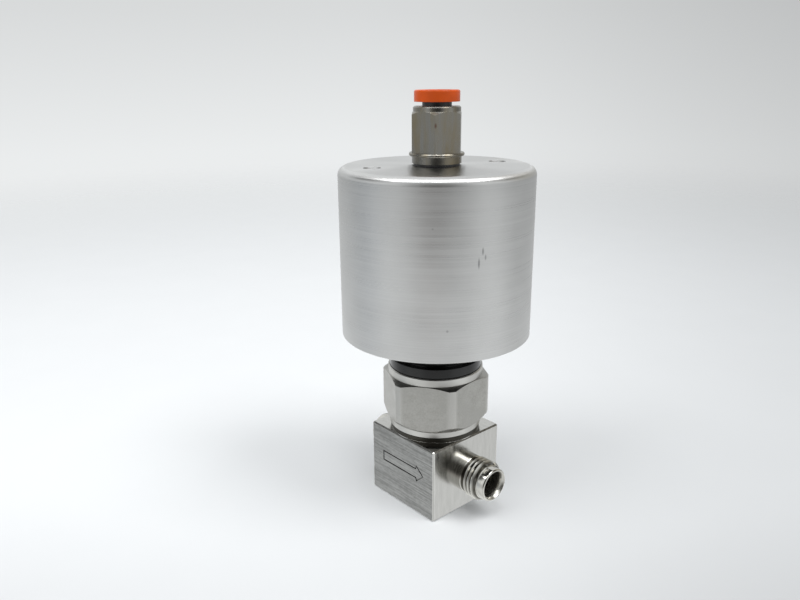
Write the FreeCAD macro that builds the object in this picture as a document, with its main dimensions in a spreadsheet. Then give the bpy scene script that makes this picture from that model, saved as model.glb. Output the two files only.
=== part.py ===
import FreeCAD, Part
import Sketcher
import os
from math import atan2

# Air-operated bellows valve, normally open, in millimetres.
# The frame stands on the underside of the body block: +Z runs up the stem, +X is the flow direction.

doc = FreeCAD.newDocument("bellows_valve")
sheet = doc.addObject("Spreadsheet::Sheet", "Sizes")

SIZES = (
    ("edge_break", 0.3, "small chamfers all over"),
    ("overrun", 1.0, "how far a cut runs past the surface that it opens"),
    # body block and its two tube ends
    ("block_width", 25.4, "square bar that the body is cut from"),
    ("block_height", 21.0, "underside to top face"),
    ("block_round", 0.6, "radius on the upright edges"),
    ("block_break", 0.4, "chamfer on the top and bottom edges"),
    ("port_height", 10.9, "axis of both tube ends above the underside"),
    ("port_reach", 23.0, "stem axis to the tip of a tube end"),
    ("port_collar_radius", 5.25, "plain collar next to the block"),
    ("port_collar_length", 2.5, "length of the plain collar"),
    ("port_thread_radius", 5.56, "major radius of the 7/16-20 thread"),
    ("port_thread_length", 4.4, "threaded length"),
    ("port_nose_radius", 4.55, "plain nose in front of the thread"),
    ("port_mouth_radius", 3.95, "conical mouth at the tip"),
    ("port_mouth_depth", 3.4, "depth of the conical mouth"),
    ("tube_radius", 3.175, "1/4 inch tube"),
    ("tube_socket_clearance", 0.05, "radial clearance of the tube in its socket"),
    ("tube_socket_depth", 9.5, "tip to the shoulder the tube stops at"),
    ("flow_radius", 2.2, "drilled passages"),
    # valve chamber
    ("chamber_radius", 8.6, "bore that the bellows works in"),
    ("chamber_floor_wall", 0.8, "metal between the passages and the floor of the chamber"),
    ("seat_rise", 1.1, "raised seat above the chamber floor"),
    ("seat_radius", 3.3, "outside of the raised seat"),
    ("orifice_radius", 2.0, "upright hole under the seat"),
    ("outlet_drill_offset", 6.25, "stem axis to the drilling that feeds the outlet"),
    ("outlet_drill_radius", 1.85, "drilling from the chamber floor to the outlet"),
    ("boss_radius", 12.45, "round boss turned on top of the block"),
    ("boss_height", 1.3, "height of that boss"),
    ("neck_radius", 11.1, "major radius of the union thread on the neck"),
    ("neck_height", 12.0, "neck above the top face of the block"),
    # stack that the union nut clamps
    ("gasket_thickness", 0.4, "body gasket"),
    ("gasket_width", 1.6, "radial width of the body gasket"),
    ("clamp_inset", 0.3, "edge of the clamped rings inside the neck thread"),
    ("weld_ring_thickness", 1.2, "ring that the bellows is welded to"),
    ("bonnet_flange_thickness", 2.6, "flange of the bonnet"),
    ("bonnet_barrel_radius", 8.0, "barrel of the bonnet"),
    ("bonnet_bore_radius", 4.0, "bore of the bonnet"),
    ("bonnet_grip", 6.7, "length of barrel inside the actuator base"),
    ("bush_length", 7.2, "guide bush in the bonnet"),
    # union nut
    ("nut_roof", 2.5, "inward flange at the top of the nut"),
    ("nut_gap", 0.3, "gap between the boss and the nut"),
    ("nut_thread_clearance", 0.08, "radial clearance on the union thread"),
    ("nut_hole_clearance", 0.2, "radial clearance round the bonnet barrel"),
    ("nut_flats", 26.6, "across flats"),
    ("nut_corner_radius", 14.85, "turned diameter that blunts the six corners, halved"),
    ("nut_turn", 34.1, "turn of the first corner from +X"),
    ("nut_lower_wall", 1.57, "metal round the union thread, up to the round shoulder at the bottom"),
    ("nut_lower_height", 1.5, "height of the bottom shoulder"),
    ("nut_upper_radius", 13.1, "round shoulder at the top"),
    ("nut_upper_height", 2.15, "height of the top shoulder"),
    ("nut_upper_drop", 0.8, "fall of the top chamfer across the corners"),
    # stem, tip and bellows
    ("stroke", 1.8, "lift of the tip off the seat"),
    ("seal_gap", 0.05, "space left under the tip at the end of the stroke"),
    ("tip_radius", 3.1, "plastic seat insert"),
    ("tip_height", 2.6, "height of the insert"),
    ("tip_stand", 0.5, "insert proud of its holder"),
    ("tip_holder_radius", 4.3, "end of the stem round the insert"),
    ("stem_collar_thickness", 1.2, "collar that the bellows is welded to"),
    ("stem_radius", 2.5, "stem through the bellows"),
    ("running_clearance", 0.05, "radial clearance of sliding stems and rods"),
    ("stem_length", 23.4, "collar to the shoulder under the actuator rod"),
    ("stem_thread_radius", 2.0, "threaded top of the stem"),
    ("stem_thread_length", 6.0, "its length"),
    ("bellows_crest_radius", 6.4, "outside of the bellows"),
    ("bellows_root_radius", 4.3, "inside of the bellows"),
    ("bellows_wall", 0.25, "wall of the bellows"),
    ("bellows_folds", 7, "number of convolutions"),
    # actuator base and cap
    ("hub_gap", 0.1, "gap between the nut and the hub"),
    ("hub_radius", 12.7, "ring at the foot of the base"),
    ("hub_ring_height", 2.5, "height of that ring"),
    ("hub_neck_radius", 10.8, "waist between the ring and the plate"),
    ("hub_length", 9.3, "foot of the hub to the rim of the cap"),
    ("base_recess", 0.8, "plate set back inside the rim"),
    ("base_thickness", 6.0, "plate that closes the cap"),
    ("base_thread_step", 1.0, "threaded edge of the plate outside the cylinder bore"),
    ("base_clearance", 0.06, "radial clearance of threads and pressed bushes"),
    ("base_vent_radius", 1.0, "breather hole under the piston"),
    ("base_vent_inset", 2.9, "cylinder bore to the axis of the breather hole"),
    ("rod_bush_wall", 1.5, "wall of the bush in the base"),
    ("rod_bush_drop", 0.6, "bush below the top face of the plate"),
    ("cap_height", 44.8, "rim to top face"),
    ("cap_bore_radius", 21.4, "cylinder bore"),
    ("cap_wall", 4.0, "wall round the bore"),
    ("cap_thread_relief", 1.1, "thread bore above the plate"),
    ("cap_roof", 6.0, "thickness of the top"),
    ("cap_edge_round", 2.3, "radius on the top edge"),
    ("cap_port_radius", 4.9, "threaded air port"),
    ("spanner_hole_radius", 2.25, "two blind holes for a pin spanner"),
    ("spanner_hole_circle", 17.5, "radius that the two holes lie on"),
    ("spanner_hole_depth", 3.0, "depth of the two holes"),
    ("spanner_hole_turn", 70.0, "turn of the holes from +X"),
    # piston, rod and spring
    ("rod_radius", 3.0, "actuator rod"),
    ("rod_spigot_radius", 2.45, "threaded spigot through the piston"),
    ("piston_clearance", 0.1, "radial clearance of the piston in its bore"),
    ("piston_thickness", 8.0, "overall"),
    ("piston_recess_depth", 2.5, "spring pocket in the underside"),
    ("piston_recess_radius", 16.2, "outside of the spring pocket"),
    ("piston_ring_wire", 2.4, "section of the piston O-ring"),
    ("piston_ring_clearance", 0.04, "space round the O-ring in the model"),
    ("washer_radius", 6.5, "washer under the piston nut"),
    ("washer_thickness", 0.6, "its thickness"),
    ("piston_nut_flats", 8.0, "across flats"),
    ("piston_nut_height", 3.0, "height of the nut"),
    ("top_gap", 0.3, "piston nut to the roof of the cap when open"),
    ("spring_radius", 13.2, "mean radius of the return spring"),
    ("spring_wire", 2.6, "wire diameter"),
    ("spring_turns", 5.0, "turns between the ground ends"),
    # push-in air fitting
    ("seal_ring_height", 0.5, "ring between fitting and cap"),
    ("seal_ring_radius", 5.9, "outside of that ring"),
    ("spigot_clearance", 0.05, "radial clearance of the fitting thread"),
    ("spigot_length", 5.5, "thread inside the cap"),
    ("foot_radius", 6.35, "round foot of the fitting"),
    ("foot_height", 1.8, "its height"),
    ("bead_radius", 7.1, "bead above the foot"),
    ("bead_height", 0.85, "its height"),
    ("fitting_flats", 12.1, "across flats of the hexagon"),
    ("fitting_turn", 12.5, "turn of the first corner from +X"),
    ("fitting_hex_height", 10.1, "height of the hexagon"),
    ("fitting_hex_drop", 0.75, "fall of the chamfer on its corners"),
    ("head_radius", 6.05, "turned head above the hexagon"),
    ("head_height", 1.25, "its height"),
    ("air_hole_radius", 2.2, "air passage through the fitting"),
    ("tube_stop_height", 2.2, "tube stop above the foot of the fitting"),
    ("air_socket_clearance", 0.075, "radial clearance of the tube in the fitting"),
    ("air_socket_length", 2.4, "plain guide above the tube stop"),
    ("cartridge_radius", 5.1, "bore that holds the gripping parts"),
    ("tube_seal_height", 1.7, "section of the tube O-ring"),
    ("gripper_gap", 0.3, "space between stacked gripping parts"),
    ("gripper_thickness", 0.3, "spring steel of the gripper"),
    ("gripper_rise", 0.9, "height of its cone"),
    ("gripper_slots", 8, "slots between its teeth"),
    ("gripper_slot_width", 0.5, "width of a slot"),
    ("sleeve_wall", 0.47, "wall of the release sleeve"),
    ("sleeve_lip", 0.45, "lip that keeps the sleeve in"),
    ("sleeve_lip_height", 0.9, "its height"),
    ("release_gap", 1.05, "space between the head and the release ring"),
    ("release_travel", 0.8, "push that frees the tube"),
    ("release_ring_radius", 5.77, "outside of the release ring"),
    ("release_ring_height", 2.85, "its height"),
    ("release_ring_cover", 1.3, "thickness above the sleeve"),
    ("release_ring_round", 0.5, "radius on its top edge"),
    ("lead_in", 0.6, "chamfer at the mouth of the ring"),
)

for row, (alias, value, meaning) in enumerate(SIZES, start=1):
    sheet.set(f"A{row}", meaning)
    sheet.set(f"B{row}", str(value))
    sheet.setAlias(f"B{row}", alias)
doc.recompute()


class Terms(dict):
    """Turns {name} in a formula into that size, or into the formula of a level."""

    def __missing__(self, name):
        return f"Sizes.{name}"


levels = Terms()


def formula(text):
    """Write a formula out in terms of the sheet's cells."""
    return str(text).format_map(levels)


def level(name, text):
    """Name a height that several pieces share."""
    levels[name] = f"({formula(text)})"


def value_of(text):
    """Work a formula out as a plain number."""
    result = sheet.evalExpression(formula(text))
    return float(getattr(result, "Value", result))


# Heights up the stack, each from the piece it rests on.
level("block_top", "{block_height}")
level("chamber_floor", "{port_height} + {flow_radius} + {chamber_floor_wall}")
level("seat_top", "{chamber_floor} + {seat_rise}")
level("boss_top", "{block_top} + {boss_height}")
level("neck_top", "{block_top} + {neck_height}")
level("gasket_top", "{neck_top} + {gasket_thickness}")
level("weld_ring_top", "{gasket_top} + {weld_ring_thickness}")
level("clamp_top", "{weld_ring_top} + {bonnet_flange_thickness}")
level("nut_bottom", "{boss_top} + {nut_gap}")
level("nut_top", "{clamp_top} + {nut_roof}")
level("hub_bottom", "{nut_top} + {hub_gap}")
level("bonnet_top", "{hub_bottom} + {bonnet_grip}")
level("socket_top", "{bonnet_top} + {hub_gap}")
level("cap_bottom", "{hub_bottom} + {hub_length}")
level("base_bottom", "{cap_bottom} + {base_recess}")
level("base_top", "{base_bottom} + {base_thickness}")
level("cap_top", "{cap_bottom} + {cap_height}")
level("roof_under", "{cap_top} - {cap_roof}")
level("clamp_radius", "{neck_radius} - {clamp_inset}")
level("nut_thread", "{neck_radius} + {nut_thread_clearance}")
level("nut_lower_radius", "{nut_thread} + {nut_lower_wall}")
level("cap_radius", "{cap_bore_radius} + {cap_wall}")
level("base_radius", "{cap_bore_radius} + {base_thread_step}")
level("base_vent_offset", "{cap_bore_radius} - {base_vent_inset}")

# Moving parts, drawn fully open.
level("tip_bottom", "{seat_top} + {stroke} + {seal_gap}")
level("holder_bottom", "{tip_bottom} + {tip_stand}")
level("tip_top", "{tip_bottom} + {tip_height}")
level("collar_top", "{tip_top} + {stem_collar_thickness}")
level("stem_shoulder", "{collar_top} + {stem_length}")
level("stem_end", "{stem_shoulder} + {stem_thread_length}")
level("piston_nut_top", "{roof_under} - {top_gap}")
level("washer_top", "{piston_nut_top} - {piston_nut_height}")
level("piston_top", "{washer_top} - {washer_thickness}")
level("piston_bottom", "{piston_top} - {piston_thickness}")
level("spring_top", "{piston_bottom} + {piston_recess_depth}")
level("piston_radius", "{cap_bore_radius} - {piston_clearance}")
level("rod_bush_radius", "{rod_radius} + {running_clearance} + {rod_bush_wall}")

# The air fitting above the cap.
level("foot_bottom", "{cap_top} + {seal_ring_height}")
level("foot_top", "{foot_bottom} + {foot_height}")
level("bead_top", "{foot_top} + {bead_height}")
level("hex_top", "{bead_top} + {fitting_hex_height}")
level("head_top", "{hex_top} + {head_height}")
level("tube_stop", "{foot_bottom} + {tube_stop_height}")
level("cartridge_floor", "{tube_stop} + {air_socket_length}")
level("tube_seal_top", "{cartridge_floor} + {tube_seal_height}")
level("gripper_bottom", "{tube_seal_top} + {gripper_gap}")
level("gripper_top", "{gripper_bottom} + {gripper_rise} + {gripper_thickness}")
level("retainer_bottom", "{gripper_top} + {gripper_gap}")
level("sleeve_bottom", "{retainer_bottom} + {release_travel}")
level("retainer_ledge", "{sleeve_bottom} + {sleeve_lip_height} + {running_clearance}")
level("ring_bottom", "{head_top} + {release_gap}")
level("ring_top", "{ring_bottom} + {release_ring_height}")
level("sleeve_top", "{ring_top} - {release_ring_cover}")
level("air_socket_radius", "{tube_radius} + {air_socket_clearance}")
level("sleeve_radius", "{air_socket_radius} + {sleeve_wall}")
level("lip_radius", "{sleeve_radius} + {sleeve_lip}")
level("fill_radius", "{cartridge_radius} - {running_clearance}")

pieces = []

# How a sketch numbers the points of an edge, its own axes and its origin.
START, END, CENTRE = range(1, 4)
LEVEL_AXIS, UPRIGHT_AXIS = range(-1, -3, -1)
ORIGIN = (LEVEL_AXIS, START)

# Two lengths that differ by less than this are the same.
SAME = 1e-4


def plane(body, role):
    """Return one of the body's own origin planes or axes."""
    return next(item for item in body.Origin.OriginFeatures if item.Role == role)


def new_body(label):
    """Start a piece made of sketches and features."""
    body = doc.addObject("PartDesign::Body", label)
    body.Label = label
    pieces.append(body)
    return body


def outline(body, name, corners, role="XZ_Plane", lift=None, loops=()):
    """Draw closed outlines whose corners are pairs of formulas, on one of the body's planes.

    lift raises the sketch's own origin by a formula: up the sheet's Z on an upright plane,
    and off the plane on the level one.
    """
    sketch = body.newObject("Sketcher::SketchObject", name)
    sketch.AttachmentSupport = (plane(body, role), [""])
    sketch.MapMode = "FlatFace"
    if lift is not None:
        direction = "y" if role == "XZ_Plane" else "z"
        sketch.setExpression(f".AttachmentOffset.Base.{direction}", formula(lift))
    for ring in (corners, *loops):
        draw_ring(sketch, ring)
    return sketch


def draw_ring(sketch, corners):
    """Add one closed chain of edges, with every corner held by its two formulas.

    A corner has a third part where an arc leaves it: the arc's centre, and whether it runs
    anticlockwise.
    """
    first = sketch.GeometryCount
    count = len(corners)
    points = [FreeCAD.Vector(value_of(corner[0]), value_of(corner[1]), 0) for corner in corners]
    heads = []
    for index, corner in enumerate(corners):
        ends = (points[index], points[(index + 1) % count])
        edge, head = line_edge(ends) if len(corner) == 2 else arc_edge(ends, *corner[2])
        sketch.addGeometry(edge, False)
        heads.append(head)
    for index, head in enumerate(heads):
        following = (index + 1) % count
        joined = (first + index, 3 - head, first + following, heads[following])
        sketch.addConstraint(Sketcher.Constraint("Coincident", *joined))
    for index, corner in enumerate(corners):
        hold(sketch, first + index, heads[index], "DistanceX", corner[0])
        hold(sketch, first + index, heads[index], "DistanceY", corner[1])
        if len(corner) == 3:
            hold(sketch, first + index, CENTRE, "DistanceX", corner[2][0])


def line_edge(ends):
    """A straight edge, and which of its ends comes first."""
    return Part.LineSegment(*ends), START


def arc_edge(ends, across, up, anticlockwise):
    """An arc about a centre between two points, and which of its ends comes first."""
    centre = FreeCAD.Vector(value_of(across), value_of(up), 0)
    circle = Part.Circle(centre, FreeCAD.Vector(0, 0, 1), centre.distanceToPoint(ends[0]))
    angles = [atan2(point.y - centre.y, point.x - centre.x) for point in ends]
    if anticlockwise:
        return Part.ArcOfCircle(circle, angles[0], angles[1]), START
    return Part.ArcOfCircle(circle, angles[1], angles[0]), END


def hold(sketch, number, point, kind, text):
    """Tie one coordinate of a point to the sheet, or put the point on the axis when it is nought."""
    if str(text) == "0":
        axis = UPRIGHT_AXIS if kind == "DistanceX" else LEVEL_AXIS
        sketch.addConstraint(Sketcher.Constraint("PointOnObject", number, point, axis))
        return
    held = sketch.addConstraint(Sketcher.Constraint(kind, *ORIGIN, number, point, value_of(text)))
    sketch.setExpression(f"Constraints[{held}]", formula(text))


def turn(body, name, corners, kind="Revolution", axis="V_Axis", lift=None):
    """Turn an outline about the stem axis, or about a level axis, adding or cutting."""
    sketch = outline(body, name + "_outline", corners, lift=lift)
    feature = body.newObject("PartDesign::" + kind, name)
    feature.Profile = sketch
    feature.ReferenceAxis = (sketch, [axis])
    feature.Angle = 360
    doc.recompute()
    return feature


def turned_piece(label, corners):
    """A piece that is turned in one go."""
    body = new_body(label)
    turn(body, label + "_turned", corners)
    return body


def ring_corners(inner, outer, bottom, top):
    """Corners of a plain ring's section."""
    return ((inner, bottom), (outer, bottom), (outer, top), (inner, top))


def pad(body, name, sketch, length, kind="Pad", reverse=False):
    """Extrude a sketch, adding or cutting."""
    feature = body.newObject("PartDesign::" + kind, name)
    feature.Profile = sketch
    feature.setExpression("Length", formula(length))
    feature.Reversed = reverse
    doc.recompute()
    return feature


def edges_where(feature, test):
    """Names of the feature's edges that pass a test."""
    edges = feature.Shape.Edges
    return [f"Edge{number}" for number, edge in enumerate(edges, start=1) if test(edge)]


def soften(body, name, kind, base, test, prop, size):
    """Fillet or chamfer the edges of a feature that pass a test."""
    feature = body.newObject("PartDesign::" + kind, name)
    feature.Base = (base, edges_where(base, test))
    feature.setExpression(prop, formula(size))
    doc.recompute()
    return feature


def is_circle_at(radius, height):
    """Test for a level circle about the stem axis."""
    wanted_radius, wanted_height = value_of(radius), value_of(height)

    def test(edge):
        if edge.Curve.TypeId != "Part::GeomCircle":
            return False
        circle = edge.Curve
        return (
            abs(circle.Radius - wanted_radius) < SAME
            and abs(circle.Center.z - wanted_height) < SAME
            and abs(circle.Center.x) + abs(circle.Center.y) < SAME
        )

    return test


def is_upright(edge):
    """Test for a straight upright edge."""
    if edge.Curve.TypeId != "Part::GeomLine":
        return False
    return abs(edge.Curve.Direction.z) > 0.999


def hexagon(flats, start):
    """Corners of a hexagon across the given flats, first corner at an angle from +X."""
    reach = f"{flats} / sqrt(3)"
    angles = [f"({start} + {60 * step}) * 1 deg" for step in range(6)]
    return [(f"{reach} * cos({angle})", f"{reach} * sin({angle})") for angle in angles]


def square(half):
    """Corners of a square about the stem axis."""
    return ((f"-({half})", f"-({half})"), (half, f"-({half})"), (half, half), (f"-({half})", half))


def primitive(kind, name, **sizes):
    """Add a primitive whose properties follow the sheet."""
    item = doc.addObject("Part::" + kind, name)
    for prop, text in sizes.items():
        item.setExpression(prop.replace("__", "."), formula(text))
    return item


def combine(kind, label, base, tool):
    """Cut, fuse or keep what two shapes share."""
    item = doc.addObject("Part::" + kind, label)
    item.Base = base
    item.Tool = tool
    item.Label = label
    return item


def valve_body():
    """Square block with a turned neck, two tube ends, the chamber, the seat and the passages."""
    body = new_body("valve_body")
    face = outline(body, "block_face", square("{block_width} / 2"), role="XY_Plane")
    block = pad(body, "block", face, "{block_height}")
    rounded = soften(body, "block_rounds", "Fillet", block, is_upright, "Radius", "{block_round}")
    levels_at = (0.0, value_of("{block_top}"))

    def is_rim(edge):
        box = edge.BoundBox
        return box.ZLength < SAME and any(abs(box.ZMin - height) < SAME for height in levels_at)

    soften(body, "block_chamfers", "Chamfer", rounded, is_rim, "Size", "{block_break}")
    turn(body, "neck", (
        ("0", "{chamber_floor}"),
        ("{boss_radius}", "{chamber_floor}"),
        ("{boss_radius}", "{boss_top}"),
        ("{neck_radius}", "{boss_top}"),
        ("{neck_radius}", "{neck_top} - {edge_break}"),
        ("{neck_radius} - {edge_break}", "{neck_top}"),
        ("0", "{neck_top}"),
    ))
    root = "{block_width} / 2 - {block_round}"
    thread_start = "{block_width} / 2 + {port_collar_length}"
    thread_end = thread_start + " + {port_thread_length}"
    end = turn(body, "tube_end", (
        (root, "0"),
        (root, "{port_collar_radius}"),
        (thread_start, "{port_collar_radius}"),
        (thread_start + " + {port_thread_radius} - {port_collar_radius}", "{port_thread_radius}"),
        (thread_end, "{port_thread_radius}"),
        (thread_end + " + ({port_thread_radius} - {port_nose_radius}) / 2", "{port_nose_radius}"),
        ("{port_reach} - {edge_break}", "{port_nose_radius}"),
        ("{port_reach}", "{port_nose_radius} - {edge_break}"),
        ("{port_reach}", "0"),
    ), axis="H_Axis", lift="{port_height}")
    socket = "{tube_radius} + {tube_socket_clearance}"
    stop = "{port_reach} - {tube_socket_depth}"
    bore = turn(body, "tube_socket", (
        (stop, "0"),
        (stop, socket),
        ("{port_reach} - {port_mouth_depth}", socket),
        ("{port_reach}", "{port_mouth_radius}"),
        ("{port_reach}", "0"),
    ), kind="Groove", axis="H_Axis", lift="{port_height}")
    twin = body.newObject("PartDesign::Mirrored", "inlet_end")
    twin.Originals = [end, bore]
    twin.MirrorPlane = (plane(body, "YZ_Plane"), [""])
    body.Tip = twin
    doc.recompute()
    turn(body, "chamber", (
        ("0", "{seat_top}"),
        ("{seat_radius}", "{seat_top}"),
        ("{seat_radius} + {seat_rise} / 4", "{chamber_floor}"),
        ("{chamber_radius}", "{chamber_floor}"),
        ("{chamber_radius}", "{neck_top} + {overrun}"),
        ("0", "{neck_top} + {overrun}"),
    ), kind="Groove")
    hole = ring_corners("0", "{orifice_radius}", "{port_height}", "{seat_top} + {overrun}")
    turn(body, "orifice", hole, kind="Groove")
    turn(body, "inlet_passage", (
        ("-(" + stop + ") - {overrun}", "0"),
        ("-(" + stop + ") - {overrun}", "{flow_radius}"),
        ("{orifice_radius}", "{flow_radius}"),
        ("{orifice_radius} + {flow_radius} / 2", "0"),
    ), kind="Groove", axis="H_Axis", lift="{port_height}")
    inner_end = "{outlet_drill_offset} - {outlet_drill_radius} / 2"
    turn(body, "outlet_passage", (
        (inner_end, "0"),
        (inner_end, "{flow_radius}"),
        (stop + " + {overrun}", "{flow_radius}"),
        (stop + " + {overrun}", "0"),
    ), kind="Groove", axis="H_Axis", lift="{port_height}")
    outlet_drilling(body)
    return body


def outlet_drilling(body):
    """Upright hole beside the seat, from the chamber floor down to the outlet."""
    sketch = body.newObject("Sketcher::SketchObject", "outlet_drilling_circle")
    sketch.AttachmentSupport = (plane(body, "XY_Plane"), [""])
    sketch.MapMode = "FlatFace"
    sketch.setExpression(".AttachmentOffset.Base.z", formula("{port_height}"))
    draw_circle(sketch, "{outlet_drill_offset}", "0", "{outlet_drill_radius}")
    depth = "{chamber_floor} - {port_height} + {overrun}"
    pad(body, "outlet_drilling", sketch, depth, kind="Pocket", reverse=True)


def draw_circle(sketch, across, along, radius):
    """Add a circle whose centre and radius follow the sheet."""
    centre = FreeCAD.Vector(value_of(across), value_of(along), 0)
    circle = Part.Circle(centre, FreeCAD.Vector(0, 0, 1), value_of(radius))
    number = sketch.addGeometry(circle, False)
    hold(sketch, number, CENTRE, "DistanceX", across)
    hold(sketch, number, CENTRE, "DistanceY", along)
    held = sketch.addConstraint(Sketcher.Constraint("Radius", number, value_of(radius)))
    sketch.setExpression(f"Constraints[{held}]", formula(radius))


def body_gasket():
    """Flat ring on top of the neck."""
    inner = "{clamp_radius} - {gasket_width}"
    return turned_piece("body_gasket", ring_corners(inner, "{clamp_radius}", "{neck_top}", "{gasket_top}"))


def bellows_flange():
    """Ring that carries the top of the bellows, with a thin lip to weld to."""
    hole = "{bellows_root_radius}"
    return turned_piece("bellows_flange", (
        (hole, "{neck_top}"),
        ("{bellows_crest_radius}", "{neck_top}"),
        ("{bellows_crest_radius}", "{gasket_top}"),
        ("{clamp_radius}", "{gasket_top}"),
        ("{clamp_radius}", "{weld_ring_top}"),
        (hole, "{weld_ring_top}"),
    ))


def bellows():
    """Formed bellows: one fold of even wall, turned and repeated up to the weld ring."""
    body = new_body("bellows")
    fold = "({neck_top} - {collar_top}) / {bellows_folds}"
    one = turn(body, "fold", fold_corners(fold), lift="{collar_top}")
    row = body.newObject("PartDesign::LinearPattern", "folds")
    row.Originals = [one]
    row.Direction = (one.Profile[0], ["V_Axis"])
    row.setExpression("Length", formula(fold + " * ({bellows_folds} - 1)"))
    row.setExpression("Occurrences", formula("{bellows_folds}"))
    body.Tip = row
    doc.recompute()
    return body


def fold_corners(fold):
    """Section of one fold: out from the root, round the crest and back, at a steady wall."""
    quarter = f"({fold} / 4)"
    inner_bend = f"({quarter} - {{bellows_wall}} / 2)"
    outer_bend = f"({quarter} + {{bellows_wall}} / 2)"
    root = "{bellows_root_radius}"
    root_wall = root + " + {bellows_wall}"
    root_bend = f"{root} + {outer_bend}"
    crest_bend = "{bellows_crest_radius} - " + outer_bend
    middle = f"2 * {quarter}"
    top = f"4 * {quarter}"
    return (
        (root, "0"),
        (root_wall, "0", (root_bend, "0", False)),
        (root_bend, inner_bend),
        (crest_bend, f"{middle} - {outer_bend}", (crest_bend, middle, True)),
        (crest_bend, f"{middle} + {outer_bend}"),
        (root_bend, f"{top} - {inner_bend}", (root_bend, top, False)),
        (root_wall, top),
        (root, top, (root_bend, top, True)),
        (root_bend, f"{top} - {outer_bend}"),
        (crest_bend, f"{middle} + {inner_bend}", (crest_bend, middle, False)),
        (crest_bend, f"{middle} - {inner_bend}"),
        (root_bend, outer_bend, (root_bend, "0", True)),
    )


def stem():
    """Stem with the holder for its tip, the weld collar and the threaded top."""
    end = "{stem_thread_radius}"
    return turned_piece("stem", (
        ("0", "{tip_top}"),
        ("{tip_radius}", "{tip_top}"),
        ("{tip_radius}", "{holder_bottom}"),
        ("{tip_holder_radius} - {edge_break}", "{holder_bottom}"),
        ("{tip_holder_radius}", "{holder_bottom} + {edge_break}"),
        ("{tip_holder_radius}", "{tip_top}"),
        ("{bellows_crest_radius}", "{tip_top}"),
        ("{bellows_crest_radius}", "{collar_top}"),
        ("{stem_radius}", "{collar_top}"),
        ("{stem_radius}", "{stem_shoulder}"),
        (end, "{stem_shoulder}"),
        (end, "{stem_end} - {edge_break}"),
        (end + " - {edge_break}", "{stem_end}"),
        ("0", "{stem_end}"),
    ))


def stem_tip():
    """Plastic insert that closes the seat."""
    return turned_piece("stem_tip", (
        ("0", "{tip_bottom}"),
        ("{tip_radius} - {edge_break}", "{tip_bottom}"),
        ("{tip_radius}", "{tip_bottom} + {edge_break}"),
        ("{tip_radius}", "{tip_top}"),
        ("0", "{tip_top}"),
    ))


def bonnet():
    """Flanged barrel that the nut clamps and the actuator screws onto."""
    return turned_piece("bonnet", (
        ("{bonnet_bore_radius}", "{weld_ring_top}"),
        ("{clamp_radius}", "{weld_ring_top}"),
        ("{clamp_radius}", "{clamp_top}"),
        ("{bonnet_barrel_radius}", "{clamp_top}"),
        ("{bonnet_barrel_radius}", "{bonnet_top} - {edge_break}"),
        ("{bonnet_barrel_radius} - {edge_break}", "{bonnet_top}"),
        ("{bonnet_bore_radius}", "{bonnet_top}"),
    ))


def guide_bush():
    """Bronze bush that guides the stem in the bonnet."""
    inner = "{stem_radius} + {running_clearance}"
    outer = "{bonnet_bore_radius}"
    return turned_piece("guide_bush", ring_corners(
        inner, outer, "{weld_ring_top}", "{weld_ring_top} + {bush_length}"))


def bonnet_nut():
    """Union nut: a turned blank with two round shoulders, kept inside a hexagon."""
    blank = doc.addObject("PartDesign::Body", "nut_blank")
    hole = "{bonnet_barrel_radius} + {nut_hole_clearance}"
    rise = "{nut_corner_radius} - {nut_lower_radius}"
    shoulder_top = "{nut_bottom} + {nut_lower_height}"
    shoulder_low = "{nut_top} - {nut_upper_height}"
    turn(blank, "nut_turned", (
        ("{nut_thread} + {edge_break}", "{nut_bottom}"),
        ("{nut_lower_radius}", "{nut_bottom}"),
        ("{nut_lower_radius}", shoulder_top),
        ("{nut_corner_radius}", shoulder_top + " + " + rise),
        ("{nut_corner_radius}", shoulder_low + " - {nut_upper_drop}"),
        ("{nut_upper_radius}", shoulder_low),
        ("{nut_upper_radius}", "{nut_top} - {edge_break}"),
        ("{nut_upper_radius} - {edge_break}", "{nut_top}"),
        (hole, "{nut_top}"),
        (hole, "{clamp_top}"),
        ("{nut_thread}", "{clamp_top}"),
        ("{nut_thread}", "{nut_bottom} + {edge_break}"),
    ))
    prism = primitive(
        "Prism", "nut_hexagon", Circumradius="{nut_flats} / sqrt(3)", Height="{nut_top}",
        Placement__Rotation__Angle="{nut_turn}",
    )
    prism.Polygon = 6
    nut = combine("Common", "bonnet_nut", blank, prism)
    pieces.append(nut)
    return nut


def actuator_base():
    """Hub with a socket for the bonnet and a plate that screws into the cap."""
    body = new_body("actuator_base")
    socket = "{bonnet_barrel_radius} + {base_clearance}"
    turn(body, "base_turned", (
        (socket, "{hub_bottom}"),
        ("{hub_radius}", "{hub_bottom}"),
        ("{hub_radius}", "{hub_bottom} + {hub_ring_height}"),
        ("{hub_neck_radius}", "{hub_bottom} + {hub_ring_height}"),
        ("{hub_neck_radius}", "{base_bottom}"),
        ("{base_radius} - {edge_break}", "{base_bottom}"),
        ("{base_radius}", "{base_bottom} + {edge_break}"),
        ("{base_radius}", "{base_top}"),
        ("{rod_bush_radius}", "{base_top}"),
        ("{rod_bush_radius}", "{socket_top}"),
        (socket, "{socket_top}"),
    ))
    sketch = body.newObject("Sketcher::SketchObject", "breather_circle")
    sketch.AttachmentSupport = (plane(body, "XY_Plane"), [""])
    sketch.MapMode = "FlatFace"
    sketch.setExpression(".AttachmentOffset.Base.z", formula("{base_bottom} - {overrun}"))
    draw_circle(sketch, "0", "{base_vent_offset}", "{base_vent_radius}")
    pad(body, "breather", sketch, "{base_thickness} + 2 * {overrun}", kind="Pocket", reverse=True)
    return body


def rod_bush():
    """Bush that guides the actuator rod in the base."""
    return turned_piece("rod_bush", ring_corners(
        "{rod_radius} + {running_clearance}", "{rod_bush_radius}",
        "{socket_top} + {hub_gap}", "{base_top} - {rod_bush_drop}"))


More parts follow.
